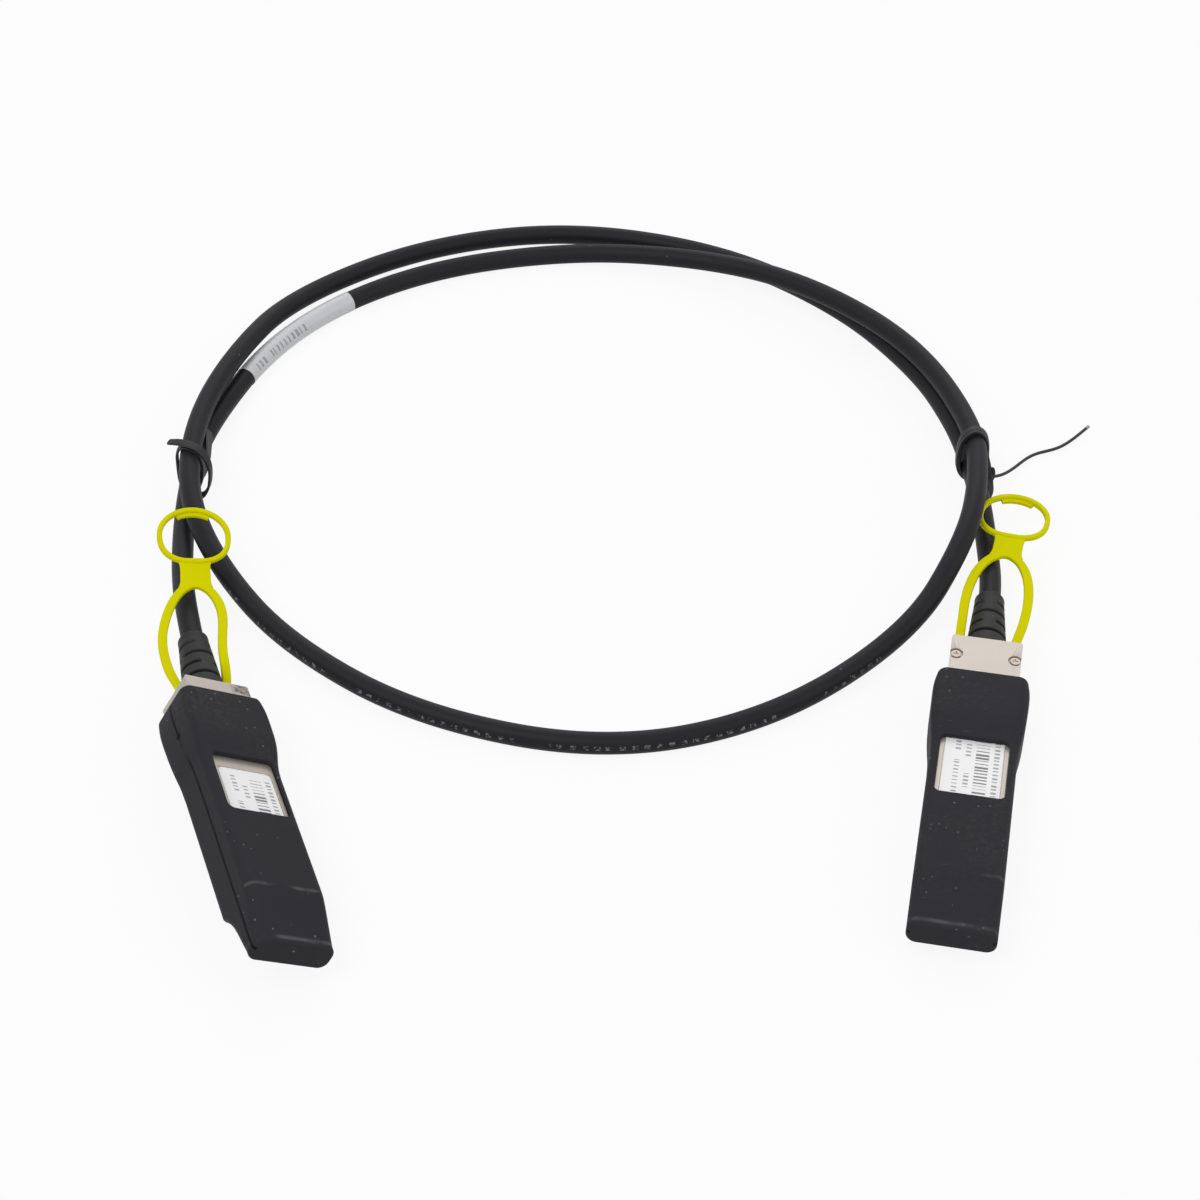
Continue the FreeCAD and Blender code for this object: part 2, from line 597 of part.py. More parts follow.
def edge_contacts():
    """Gold fingers on both faces of the tongue."""
    x1 = BOARD_END - CONTACT_SETBACK
    x0 = x1 - CONTACT_LENGTH
    fingers = []
    for z0 in (BOARD_TOP, BOARD_SEAT_HEIGHT - CONTACT_THICKNESS):
        for index in range(CONTACT_COUNT):
            y = (index - (CONTACT_COUNT - 1) / 2) * CONTACT_PITCH
            fingers.append(block(x0, x1, y - CONTACT_WIDTH / 2, y + CONTACT_WIDTH / 2,
                                 z0, z0 + CONTACT_THICKNESS))
    return fingers


def memory_chip():
    """Identity memory with its legs."""
    body = block(CHIP_X, CHIP_X + CHIP_LENGTH, -CHIP_WIDTH / 2, CHIP_WIDTH / 2,
                 BOARD_TOP, BOARD_TOP + CHIP_HEIGHT)
    legs = []
    for index in range(CHIP_LEG_COUNT):
        x = CHIP_X + CHIP_LENGTH / 2 + (index - (CHIP_LEG_COUNT - 1) / 2) * CHIP_LEG_PITCH
        legs.append(block(x - CHIP_LEG_WIDTH / 2, x + CHIP_LEG_WIDTH / 2,
                          -CHIP_WIDTH / 2 - CHIP_LEG_REACH, CHIP_WIDTH / 2 + CHIP_LEG_REACH,
                          BOARD_TOP, BOARD_TOP + CHIP_LEG_HEIGHT))
    return fuse_all([body] + legs)


def coupling_capacitors():
    """Row of chip capacitors across the board."""
    chips = []
    for index in range(CAPACITOR_COUNT):
        y = (index - (CAPACITOR_COUNT - 1) / 2) * CAPACITOR_PITCH
        chips.append(block(CAPACITOR_X, CAPACITOR_X + CAPACITOR_LENGTH,
                           y - CAPACITOR_WIDTH / 2, y + CAPACITOR_WIDTH / 2,
                           BOARD_TOP, BOARD_TOP + CAPACITOR_HEIGHT))
    return chips


def lean_placement(spot):
    """Turn about the cable's exit that leans the strain relief sideways and down."""
    turn = FreeCAD.Rotation(Vec(0, 0, 1), -spot["lean"])
    turn = turn.multiply(FreeCAD.Rotation(Vec(0, 1, 0), -spot["droop"]))
    return FreeCAD.Placement(Vec(0, 0, 0), turn, Vec(0, 0, CABLE_AXIS_HEIGHT))


def leaned(shape, spot):
    """Shape turned with the strain relief."""
    shape.Placement = lean_placement(spot).multiply(shape.Placement)
    return shape


def jacket_end():
    """End of the cable's jacket, inside the strain relief and the head."""
    start = Vec(-BOOT_LENGTH, 0, CABLE_AXIS_HEIGHT)
    return rod(start, Vec(1, 0, 0), CABLE_RADIUS, BOOT_LENGTH + JACKET_REACH)


def crimp_ferrule():
    """Sleeve crimped over the jacket end."""
    start = Vec(FERRULE_START, 0, CABLE_AXIS_HEIGHT)
    length = JACKET_REACH - FERRULE_SETBACK - FERRULE_START
    outer = rod(start, Vec(1, 0, 0), CABLE_RADIUS + BORE_FIT + FERRULE_THICKNESS, length)
    bore = rod(start - Vec(OVERCUT, 0, 0), Vec(1, 0, 0), CABLE_RADIUS + BORE_FIT, length + 2 * OVERCUT)
    return outer.cut(bore)


def corner_arc(before, corner, after):
    """Start, middle, end and radius of the arc that rounds a corner of a path."""
    back = before - corner
    ahead = after - corner
    reach = ARC_SHARE * min(back.Length, ahead.Length)
    back.normalize()
    ahead.normalize()
    half_turn = (math.pi - back.getAngle(ahead)) / 2
    radius = reach / math.tan(half_turn)
    towards = (back + ahead).normalize()
    middle = corner + towards * (math.hypot(radius, reach) - radius)
    return corner + back * reach, middle, corner + ahead * reach, radius


def rounded_path(points):
    """Straight runs joined by tangent arcs, with the radius of each arc."""
    corners = [Vec(*p) for p in points]
    edges = []
    radii = []
    last = corners[0]
    for before, corner, after in zip(corners, corners[1:], corners[2:]):
        start, middle, end, radius = corner_arc(before, corner, after)
        edges.append(Part.LineSegment(last, start).toShape())
        edges.append(Part.Arc(start, middle, end).toShape())
        radii.append(radius)
        last = end
    edges.append(Part.LineSegment(last, corners[-1]).toShape())
    return Part.Wire(edges), radii


def swept_disc(path, radius):
    """Round bar along a path of lines and arcs: a cylinder or a piece of torus for each."""
    pieces = []
    for edge in path.Edges:
        start = edge.valueAt(edge.FirstParameter)
        run = edge.tangentAt(edge.FirstParameter)
        disc = Part.Face(Part.Wire(Part.makeCircle(radius, start, run)))
        if isinstance(edge.Curve, Part.Line):
            pieces.append(disc.extrude(run * edge.Length))
        else:
            circle = edge.Curve
            turn = math.degrees(edge.Length / circle.Radius)
            pieces.append(disc.revolve(circle.Center, (start - circle.Center).cross(run), turn))
    return pieces[0].multiFuse(pieces[1:])


def tube(points, radius):
    """Round tube along a rounded path."""
    path, _ = rounded_path(points)
    return swept_disc(path, radius)


def wire_leads(spot):
    """Four conductors from the jacket end to both faces of the board."""
    turn = lean_placement(spot)
    radius = LEAD_DIAMETER / 2
    leads = []
    for z_pad, up in ((BOARD_TOP + radius + LEAD_FIT, 1), (BOARD_SEAT_HEIGHT - radius - LEAD_FIT, -1)):
        for side in (1, -1):
            start = turn.multVec(Vec(JACKET_REACH + 2 * LEAD_FIT, side * LEAD_SPREAD / 2,
                                     CABLE_AXIS_HEIGHT + up * LEAD_SPREAD / 2))
            y_pad = side * LEAD_PAD_SPREAD / 2
            bend = (BOARD_START - LEAD_BEND_SETBACK, y_pad, z_pad)
            tip = (BOARD_START + LEAD_PAD_LENGTH, y_pad, z_pad)
            leads.append(tube([tuple(start), bend, tip], radius))
    return leads


# ---------------------------------------------------------------- strain relief
def boot_form():
    """Tapered form of the strain relief round the X axis, its tip rounded over."""
    tip = -BOOT_LENGTH
    collar_start = tip + BOOT_COLLAR_LENGTH
    outline = [
        (OVERCUT, BOOT_BORE_RADIUS), (OVERCUT, BOOT_BASE_RADIUS), (0, BOOT_BASE_RADIUS),
        (collar_start, BOOT_TIP_RADIUS), (tip, BOOT_TIP_RADIUS), (tip, BOOT_BORE_RADIUS),
        (OVERCUT, BOOT_BORE_RADIUS),
    ]
    profile = Part.makePolygon([Vec(x, radius, 0) for x, radius in outline])
    boot = Part.Face(profile).revolve(Vec(0, 0, 0), Vec(1, 0, 0), 360)
    rim = [e for e in boot.Edges
           if e.BoundBox.XMax < tip + NEAR and e.BoundBox.YLength > 2 * BOOT_TIP_RADIUS - NEAR]
    return boot.makeFillet(BOOT_TIP_FILLET, rim)


def boot_slot(index):
    """One ring of slots: the even ones leave webs at the sides, the odd ones above and below."""
    x = -BOOT_SLOT_FIRST - index * BOOT_SLOT_PITCH
    far = BOOT_BASE_RADIUS + OVERCUT
    ring = rod(Vec(x - BOOT_SLOT_WIDTH / 2, 0, 0), Vec(1, 0, 0), far, BOOT_SLOT_WIDTH)
    floor = rod(Vec(x - OVERCUT, 0, 0), Vec(1, 0, 0), BOOT_BORE_RADIUS + BOOT_SLOT_WALL, 2 * OVERCUT)
    if index % 2 == 0:
        web = block(x - OVERCUT, x + OVERCUT, -far, far, -BOOT_WEB / 2, BOOT_WEB / 2)
    else:
        web = block(x - OVERCUT, x + OVERCUT, -BOOT_WEB, BOOT_WEB, -far, far)
    return ring.cut(floor).cut(web)


def strain_relief(spot):
    """Tapered rubber boot with staggered slots, a neck through the wall and a flange."""
    boot = boot_form()
    for index in range(BOOT_SLOT_COUNT):
        boot = boot.cut(boot_slot(index))
    boot.translate(Vec(0, 0, CABLE_AXIS_HEIGHT))
    reach = 2 * BOOT_BASE_RADIUS
    inside = block(0, BOOT_BASE_RADIUS, -reach, reach, -reach, 2 * reach)
    boot = leaned(boot, spot).cut(inside)
    neck = rod(Vec(-BOOT_NECK_OVERLAP, 0, CABLE_AXIS_HEIGHT), Vec(1, 0, 0), BOOT_NECK_RADIUS,
               BOOT_NECK_LENGTH + BOOT_NECK_OVERLAP)
    flange = rod(Vec(BOOT_NECK_LENGTH, 0, CABLE_AXIS_HEIGHT), Vec(1, 0, 0),
                 BOOT_FLANGE_RADIUS, BOOT_FLANGE_THICKNESS)
    bore = rod(Vec(-BOOT_LENGTH - OVERCUT, 0, CABLE_AXIS_HEIGHT), Vec(1, 0, 0), BOOT_BORE_RADIUS,
               BOOT_LENGTH + JACKET_REACH)
    return fuse_all([boot, neck, flange]).cut(leaned(bore, spot))


# ---------------------------------------------------------------- pull tab
def tab_placement(swing, lift, twist):
    """Attitude of the flat part of the pull tab about the middle of the back wall."""
    turn = FreeCAD.Rotation(Vec(0, 0, 1), -swing)
    turn = turn.multiply(FreeCAD.Rotation(Vec(0, 1, 0), lift))
    turn = turn.multiply(FreeCAD.Rotation(Vec(1, 0, 0), twist))
    return FreeCAD.Placement(Vec(0, 0, TAB_PLANE_HEIGHT), turn)


def spline_edge(points):
    """Smooth edge through points in the tab's plane, given as distance back and across."""
    curve = Part.BSplineCurve()
    curve.interpolate([Vec(-u, y, 0) for u, y in points])
    return curve.toShape()


def plate_from(edges, thickness):
    """Flat plate inside a closed outline, centred on the tab's plane."""
    face = Part.Face(Part.Wire(edges))
    plate = face.extrude(Vec(0, 0, thickness))
    plate.translate(Vec(0, 0, -thickness / 2))
    return plate


def tab_line(a, b):
    """Straight edge in the tab's plane."""
    return Part.LineSegment(Vec(-a[0], a[1], 0), Vec(-b[0], b[1], 0)).toShape()


def tab_plate():
    """Flat part of the tab: two bands that close into a neck with a finger ring."""
    start = (TAB_BLEND_END, TAB_OVAL_START_HALF)
    widest = (TAB_OVAL_MAX_AT, TAB_OVAL_MAX_HALF)
    bend = (TAB_BEND_AT, TAB_BEND_HALF)
    shoulder = (TAB_SHOULDER_AT, TAB_SHOULDER_HALF)
    neck = (TAB_NECK_START, TAB_NECK_WIDTH / 2)
    root = (RING_CENTRE - RING_HALF_LENGTH + RING_OVERLAP, TAB_NECK_WIDTH / 2)
    right = [start, widest, bend, shoulder]
    left = [(u, -y) for u, y in right]
    mirror = [(u, -y) for u, y in (neck, root)]
    edges = [
        spline_edge(right), tab_line(shoulder, neck), tab_line(neck, root), tab_line(root, mirror[1]),
        tab_line(mirror[1], mirror[0]), tab_line(mirror[0], left[-1]), spline_edge(left[::-1]),
        tab_line(left[0], start),
    ]
    plate = plate_from(edges, TAB_THICKNESS)
    mouth = (TAB_BLEND_END - OVERCUT, TAB_OVAL_START_HALF - TAB_BAND)
    side = [mouth, (start[0], start[1] - TAB_BAND), (widest[0], widest[1] - TAB_BAND),
            (TAB_INNER_BEND_AT, TAB_INNER_BEND_HALF), (TAB_CROWN_AT, TAB_CROWN_HALF)]
    opening = [
        spline_edge(side + [(TAB_OVAL_TOP, 0)] + [(u, -y) for u, y in side[::-1]]),
        tab_line((mouth[0], -mouth[1]), mouth),
    ]
    plate = plate.cut(plate_from(opening, TAB_THICKNESS + 2 * OVERCUT))
    ring = fuse_all([plate, finger_ring()]).cut(ring_hole(0))
    return fuse_all([ring, grip_lip()])


def ellipse_prism(half_length, half_width, bottom, top):
    """Elliptical disc round the finger ring's centre."""
    centre = Vec(-RING_CENTRE, 0, bottom)
    if half_width >= half_length:
        curve = Part.Ellipse(centre + Vec(0, half_width, 0), centre + Vec(half_length, 0, 0), centre)
    else:
        curve = Part.Ellipse(centre + Vec(half_length, 0, 0), centre + Vec(0, half_width, 0), centre)
    return Part.Face(Part.Wire(curve.toShape())).extrude(Vec(0, 0, top - bottom))


def ring_hole(inset):
    """Opening of the finger ring, less an inset."""
    far = 2 * TAB_THICKNESS
    narrower = RING_BAND + inset
    return ellipse_prism(RING_HALF_LENGTH - narrower, RING_HALF_WIDTH - narrower, -far, far)


def finger_ring():
    """Disc of the finger ring, a little thicker than the plate."""
    half = TAB_THICKNESS / 2
    return ellipse_prism(RING_HALF_LENGTH, RING_HALF_WIDTH, -half, half + RING_RISE)


def grip_lip():
    """Lip hanging from the far side of the ring, for a fingernail."""
    half = TAB_THICKNESS / 2
    outer = ellipse_prism(RING_HALF_LENGTH - RING_BAND / 2, RING_HALF_WIDTH - RING_BAND / 2,
                          -half - GRIP_LIP_DROP, GRIP_LIP_TOP)
    span = block(-RING_CENTRE - RING_HALF_LENGTH, -RING_CENTRE, -GRIP_LIP_WIDTH / 2, GRIP_LIP_WIDTH / 2,
                 -half - OVERCUT, half)
    return outer.common(span).cut(ring_hole(GRIP_LIP_REACH))


def strap_section(x, inner, outer, placement):
    """Rectangle across one strap."""
    half = TAB_THICKNESS / 2
    corners = [(x, inner, -half), (x, outer, -half), (x, outer, half), (x, inner, half)]
    points = [placement.multVec(Vec(*c)) for c in corners]
    return Part.makePolygon(points + [points[0]])


def pull_tab(swing, lift, twist):
    """One moulding: straps, bands, neck, finger ring and grip lip."""
    full = tab_placement(swing, lift, twist)
    level = tab_placement(0, 0, 0)
    plate = tab_plate()
    plate.Placement = full
    pieces = [plate]
    band_outer = TAB_OVAL_START_HALF
    band_inner = band_outer - TAB_BAND
    mid_outer = (STRAP_OUTER + band_outer) / 2
    mid_inner = (TAB_STRAP_INNER + band_inner) / 2
    middle = tab_placement(swing * TAB_BLEND_SHARE, lift * TAB_BLEND_SHARE, twist * TAB_BLEND_SHARE)
    for side in (1, -1):
        straight = loft([
            strap_section(TAB_STRAP_REACH, side * TAB_STRAP_INNER, side * STRAP_OUTER, level),
            strap_section(-TAB_BLEND_START, side * TAB_STRAP_INNER, side * STRAP_OUTER, level),
        ])
        blend = loft([
            strap_section(-TAB_BLEND_START, side * TAB_STRAP_INNER, side * STRAP_OUTER, level),
            strap_section(-TAB_BLEND_MIDDLE, side * mid_inner, side * mid_outer, middle),
            strap_section(-TAB_BLEND_END, side * band_inner, side * band_outer, full),
        ])
        pieces += [straight, blend]
    tab = fuse_all(pieces)
    for tongue in slider_tongues(TONGUE_FIT):
        tab = tab.cut(tongue)
    return tab


# ---------------------------------------------------------------- release slider
def slider_tongues(room):
    """Tongues of the slider inside the straps, with room round them."""
    half_height = SLIDER_TONGUE_HEIGHT / 2
    tongue = block(TAB_STRAP_REACH - SLIDER_TONGUE_REACH - room, SLIDER_JOGGLE_START,
                   TONGUE_MID - SLIDER_THICKNESS / 2 - room, TONGUE_MID + SLIDER_THICKNESS / 2 + room,
                   TAB_PLANE_HEIGHT - half_height - room, TAB_PLANE_HEIGHT + half_height + room)
    return both_sides(tongue)


def release_slider():
    """Bent sheet part: tongues, joggled arms beside the shell, a bar and two ramps under it."""
    low, high = SLIDER_ARM_BOTTOM, SLIDER_ARM_TOP
    inner, outer = SLIDER_INNER, SLIDER_OUTER
    joggle = prism([
        (SLIDER_JOGGLE_START - SLIDER_JOGGLE_OVERLAP, TONGUE_MID - SLIDER_THICKNESS / 2, low),
        (SLIDER_JOGGLE_END, inner, low), (SLIDER_JOGGLE_END, outer, low),
        (SLIDER_JOGGLE_START - SLIDER_JOGGLE_OVERLAP, TONGUE_MID + SLIDER_THICKNESS / 2, low),
    ], Vec(0, 0, 1), SLIDER_HEIGHT)
    arm = block(SLIDER_JOGGLE_END, SLIDER_END, inner, outer, low, high)
    leg = block(SLIDER_LEG_START, SLIDER_LEG_START + SLIDER_LEG_LENGTH, inner, outer, SLIDER_FLOOR, low)
    bar_top = SLIDER_FLOOR + SLIDER_THICKNESS
    bar = block(SLIDER_LEG_START, SLIDER_LEG_START + SLIDER_BAR_LENGTH, -outer, outer, SLIDER_FLOOR, bar_top)
    prong = prism([
        (SLIDER_LEG_START, outer - SLIDER_PRONG_WIDTH, SLIDER_FLOOR),
        (SLIDER_END, outer - SLIDER_PRONG_WIDTH, SLIDER_FLOOR),
        (SLIDER_END - SLIDER_RAMP_LENGTH, outer - SLIDER_PRONG_WIDTH, bar_top),
        (SLIDER_LEG_START, outer - SLIDER_PRONG_WIDTH, bar_top),
    ], Vec(0, 1, 0), SLIDER_PRONG_WIDTH)
    pieces = [bar] + slider_tongues(0)
    for piece in (joggle, arm, leg, prong):
        pieces += both_sides(piece)
    return fuse_all(pieces)


def return_spring():
    """Flat zigzag spring between the tray and the slider's bar."""
    x0 = RECESS_START + SPRING_FIT
    x1 = SLIDER_LEG_START - SPRING_FIT
    w = SPRING_HALF_WIDTH
    t = SPRING_STRIP_WIDTH
    z0 = SLIDER_FLOOR + SPRING_FIT
    step = (x1 - x0 - t) / SPRING_BENDS
    pieces = []
    for index in range(SPRING_BENDS + 1):
        x = x0 + index * step
        pieces.append(block(x, x + t, -w, w, z0, z0 + SPRING_THICKNESS))
        if index < SPRING_BENDS:
            side = 1 if index % 2 == 0 else -1
            y0, y1 = (w - t, w) if side > 0 else (-w, -w + t)
            pieces.append(block(x, x + step + t, y0, y1, z0, z0 + SPRING_THICKNESS))
    return fuse_all(pieces)


# ---------------------------------------------------------------- dust cap
def flare_sections():
    """Outer sections of the cap's flared mouth."""
    wider = CAP_FLARE_HALF_WIDTH - CAP_HALF_WIDTH
    higher = CAP_FLARE_TOP - CAP_TOP
    return [
        rounded_section(place * CAP_FLARE_LENGTH, CAP_HALF_WIDTH + wide * wider, CAP_BOTTOM,
                        CAP_TOP + rise * higher, CAP_CORNER_RADIUS)
        for place, wide, rise in CAP_FLARE_SHARES
    ]


def nose_sections():
    """Outer sections of the cap's nose, from barrel to tongue."""
    drop = CAP_TOP - CAP_TONGUE_TOP
    rise = CAP_TONGUE_BOTTOM - CAP_BOTTOM
    slim = CAP_HALF_WIDTH - CAP_TONGUE_HALF_WIDTH
    return [
        rounded_section(CAP_BARREL_END + place * CAP_NOSE_LENGTH, CAP_HALF_WIDTH - narrow * slim,
                        CAP_BOTTOM + up * rise, CAP_TOP - down * drop, CAP_CORNER_RADIUS)
        for place, down, up, narrow in CAP_NOSE_SHARES
    ]


def cap_outside():
    """Outer form of the cap: flared mouth, straight barrel, rounded nose, grip tongue."""
    flare = loft(flare_sections())
    flare = flare.makeFillet(CAP_END_RADIUS, [e for e in flare.Edges if e.BoundBox.XMax < NEAR])
    noses = nose_sections()
    barrel = Part.Face(noses[0]).extrude(Vec(CAP_FLARE_LENGTH - CAP_BARREL_END, 0, 0))
    tongue = Part.Face(noses[-1]).extrude(Vec(CAP_TONGUE_LENGTH, 0, 0))
    end_edges = [e for e in tongue.Edges if e.BoundBox.XMin > CAP_LENGTH - NEAR]
    tongue = tongue.makeFillet(CAP_END_RADIUS, end_edges)
    return flare.multiFuse([barrel, loft(noses), tongue])


def dust_cap():
    """Rubber cap: blind bore for the shell, wider mouth, latch groove, label window."""
    cap = cap_outside()
    bore_half = BODY_HALF + CAP_FIT
    bore_bottom = -CAP_UNDER_FIT
    bore = block(-OVERCUT, CAP_BORE_DEPTH, -bore_half, bore_half, bore_bottom, BODY_HEIGHT + CAP_FIT)
    mouth = block(-OVERCUT, CAP_MOUTH_DEPTH, -HEAD_HALF - CAP_HEAD_ROOM, HEAD_HALF + CAP_HEAD_ROOM,
                  bore_bottom, HEAD_HEIGHT + CAP_FIT)
    groove = block(-OVERCUT, CAP_GROOVE_LENGTH, -CAP_GROOVE_WIDTH / 2, CAP_GROOVE_WIDTH / 2,
                   -LATCH_BOSS_DROP - CAP_LATCH_ROOM, bore_bottom + CAP_FIT)
    window = block(CAP_WINDOW_START, CAP_WINDOW_START + CAP_WINDOW_LENGTH,
                   -CAP_WINDOW_WIDTH / 2, CAP_WINDOW_WIDTH / 2, BODY_HEIGHT, CAP_TOP + OVERCUT)
    window = window.makeFillet(CAP_WINDOW_RADIUS, edges_along(window, Vec(0, 0, 1)))
    for tool in (bore, mouth, groove, window):
        cap = cap.cut(tool)
    return cap


# ---------------------------------------------------------------- cable and ties
def cable_jacket():
    """Free length of the cable as one tube, with its radii and volume printed."""
    path, radii = rounded_path(ROUTE)
    print("cable bend radii:", " ".join(str(round(r)) for r in radii))
    solid = tube(ROUTE, CABLE_RADIUS)
    ideal = math.pi * CABLE_RADIUS ** 2 * path.Length
    print("cable length", round(path.Length, 1), "volume ratio", round(solid.Volume / ideal, 5))
    return solid


def wrap_path():
    """The cable's own bend at the wrap, with a short straight run at each end."""
    before, corner, after = [Vec(*p) for p in WRAP_BEND]
    start, middle, end, _ = corner_arc(before, corner, after)
    back = (before - corner).normalize() * WRAP_EXTRA
    ahead = (after - corner).normalize() * WRAP_EXTRA
    return Part.Wire([
        Part.LineSegment(start + back, start).toShape(),
        Part.Arc(start, middle, end).toShape(),
        Part.LineSegment(end, end + ahead).toShape(),
    ])


def wrap_label():
    """Printed wrap round the cable, following its bend."""
    path = wrap_path()
    inner = CABLE_RADIUS + WRAP_FIT
    return swept_disc(path, inner + WRAP_THICKNESS).cut(swept_disc(path, inner))


def tie_band(low, high, room):
    """Racetrack band round two strands that lie one on the other, square to X."""
    bottom = low - CABLE_RADIUS - TIE_FIT
    top = high + CABLE_RADIUS + TIE_FIT
    half = CABLE_RADIUS + TIE_FIT + room
    radius = CABLE_RADIUS + TIE_FIT
    t = TIE_THICKNESS
    outer = Part.Face(rounded_section(-TIE_WIDTH / 2, half + t, bottom - t, top + t, radius + t))
    inner = Part.Face(rounded_section(-TIE_WIDTH / 2, half, bottom, top, radius))
    return outer.cut(inner).extrude(Vec(TIE_WIDTH, 0, 0))


def wire_tie(low, high, room, at, heading, skew, tails, knots):
    """Band with its knots and loose ends."""
    band = tie_band(low, high, room)
    band.Placement = FreeCAD.Placement(Vec(at[0], at[1], 0), FreeCAD.Rotation(Vec(0, 0, 1), heading + skew))
    pieces = [band]
    pieces += [tube(tail, TIE_TAIL_RADIUS) for tail in tails]
    for start, end in knots:
        run = Vec(*end) - Vec(*start)
        pieces.append(rod(Vec(*start), run, KNOT_RADIUS, run.Length))
    return fuse_all(pieces)


# ---------------------------------------------------------------- assembly
def module_placement(spot):
    """Placement of a connector's frame."""
    turn = FreeCAD.Rotation(Vec(0, 0, 1), spot["heading"])
    turn = turn.multiply(FreeCAD.Rotation(Vec(1, 0, 0), spot["roll"]))
    return FreeCAD.Placement(Vec(*spot["at"]), turn)


def connector_pieces(spot):
    """Every piece of one connector, in the connector's own frame."""
    cap = dust_cap()
    cap.translate(Vec(spot["cap_at"], 0, 0))
    return {
        "lower_housing": [lower_housing()],
        "top_cover": [top_cover()],
        "cover_screws": cover_screws(),
        "product_label": [product_label()],
        "shield_collar": [shield_collar()],
        "circuit_board": [circuit_board()],
        "edge_contacts": edge_contacts(),
        "memory_chip": [memory_chip()],
        "coupling_capacitors": coupling_capacitors(),
        "wire_leads": wire_leads(spot),
        "crimp_ferrule": [leaned(crimp_ferrule(), spot)],
        "jacket_end": [leaned(jacket_end(), spot)],
        "strain_relief": [strain_relief(spot)],
        "pull_tab": [pull_tab(spot["swing"], spot["lift"], spot["twist"])],
        "release_slider": [release_slider()],
        "return_spring": [return_spring()],
        "dust_cap": [cap],
    }


def build():
    """All nodes of the model in the shared frame."""
    nodes = {}
    for side, spot in CONNECTORS.items():
        seat = module_placement(spot)
        for name, solids in connector_pieces(spot).items():
            for solid in solids:
                solid.Placement = seat.multiply(solid.Placement)
            nodes[side + "_" + name] = solids
    nodes["cable_jacket"] = [cable_jacket()]
    nodes["cable_wrap_label"] = [wrap_label()]
    for side, spot in TIES.items():
        nodes[side + "_wire_tie"] = [wire_tie(**spot)]
    return nodes


def export(nodes):
    """Write each node to its own file."""
    os.makedirs("parts", exist_ok=True)
    for name, solids in nodes.items():
        shape = solids[0] if len(solids) == 1 else Part.makeCompound(solids)
        shape.exportStep("parts/" + name + ".step")


export(build())
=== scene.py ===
"""Looks of a direct attach copper cable: sheath, strain reliefs, pull tabs, labels, ties and studio.

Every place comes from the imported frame. Lengths are metres. A connector's own axes are: a towards
its nose, b across, c out of its cover, with the origin at the back of the head on the underside.
"""

import json
import logging
import math
from collections.abc import Callable
from dataclasses import dataclass, field
from enum import Enum

import bmesh
import bpy
import numpy as np
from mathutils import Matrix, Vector


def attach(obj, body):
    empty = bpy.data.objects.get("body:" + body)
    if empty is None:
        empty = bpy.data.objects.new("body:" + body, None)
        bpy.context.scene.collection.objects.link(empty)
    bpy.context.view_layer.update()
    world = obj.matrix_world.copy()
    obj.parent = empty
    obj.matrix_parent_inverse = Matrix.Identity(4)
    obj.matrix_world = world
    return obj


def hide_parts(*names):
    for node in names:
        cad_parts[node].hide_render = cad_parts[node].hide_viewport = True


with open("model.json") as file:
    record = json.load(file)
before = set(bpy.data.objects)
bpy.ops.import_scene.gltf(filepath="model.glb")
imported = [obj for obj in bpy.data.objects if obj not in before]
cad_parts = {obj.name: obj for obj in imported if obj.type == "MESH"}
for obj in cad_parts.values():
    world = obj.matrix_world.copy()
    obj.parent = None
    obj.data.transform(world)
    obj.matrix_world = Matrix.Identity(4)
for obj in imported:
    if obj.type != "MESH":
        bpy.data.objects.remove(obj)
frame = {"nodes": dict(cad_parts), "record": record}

LOG = logging.getLogger("cable")
MM = 0.001
SMOOTH_ANGLE = 40.0

Array = np.ndarray
Material = bpy.types.Material
Piece = bpy.types.Object
Pair = tuple[float, float]
Rgb = tuple[float, float, float]
Point = tuple[float, float, float]
UP = np.array([0.0, 0.0, 1.0])

CORD_ROUTE: list[Point] = [
    (-0.08152, 0.01807, 0.00854), (-0.08417, 0.02821, 0.00795), (-0.0863, 0.0393, 0.0062),
    (-0.0879, 0.0521, 0.0042), (-0.0888, 0.0664, 0.0031), (-0.0883, 0.0871, 0.0031),
    (-0.0737, 0.1232, 0.0026), (-0.0453, 0.1459, 0.0023), (-0.0091, 0.1544, 0.0023),
    (0.0227, 0.1481, 0.0046), (0.0456, 0.1339, 0.008), (0.0679, 0.1127, 0.0075),
    (0.0784, 0.0828, 0.0081), (0.0765, 0.0613, 0.0106), (0.072, 0.0452, 0.01),
    (0.06, 0.0256, 0.0036), (0.0318, 0.003, 0.0023), (-0.0011, -0.0057, 0.0024),
    (-0.0374, 0.0039, 0.0023), (-0.064, 0.0232, 0.0026), (-0.0788, 0.0408, 0.0062),
    (-0.0877, 0.0604, 0.009), (-0.0888, 0.0852, 0.008), (-0.0831, 0.1079, 0.0076),
    (-0.0729, 0.1339, 0.0036), (-0.0441, 0.1555, 0.0023), (-0.0094, 0.1625, 0.0024),
    (0.0267, 0.1535, 0.0023), (0.0533, 0.133, 0.0023), (0.069, 0.109, 0.0027),
    (0.0751, 0.0904, 0.0031), (0.0774, 0.0757, 0.0031), (0.078, 0.0643, 0.0031),
    (0.07795, 0.0555, 0.0032), (0.0778, 0.0464, 0.0032), (0.0772, 0.0388, 0.0044),
    (0.07628, 0.03308, 0.00492),
]


class Side(Enum):
    """The two ends of the cable."""

    LEFT = "left"
    RIGHT = "right"


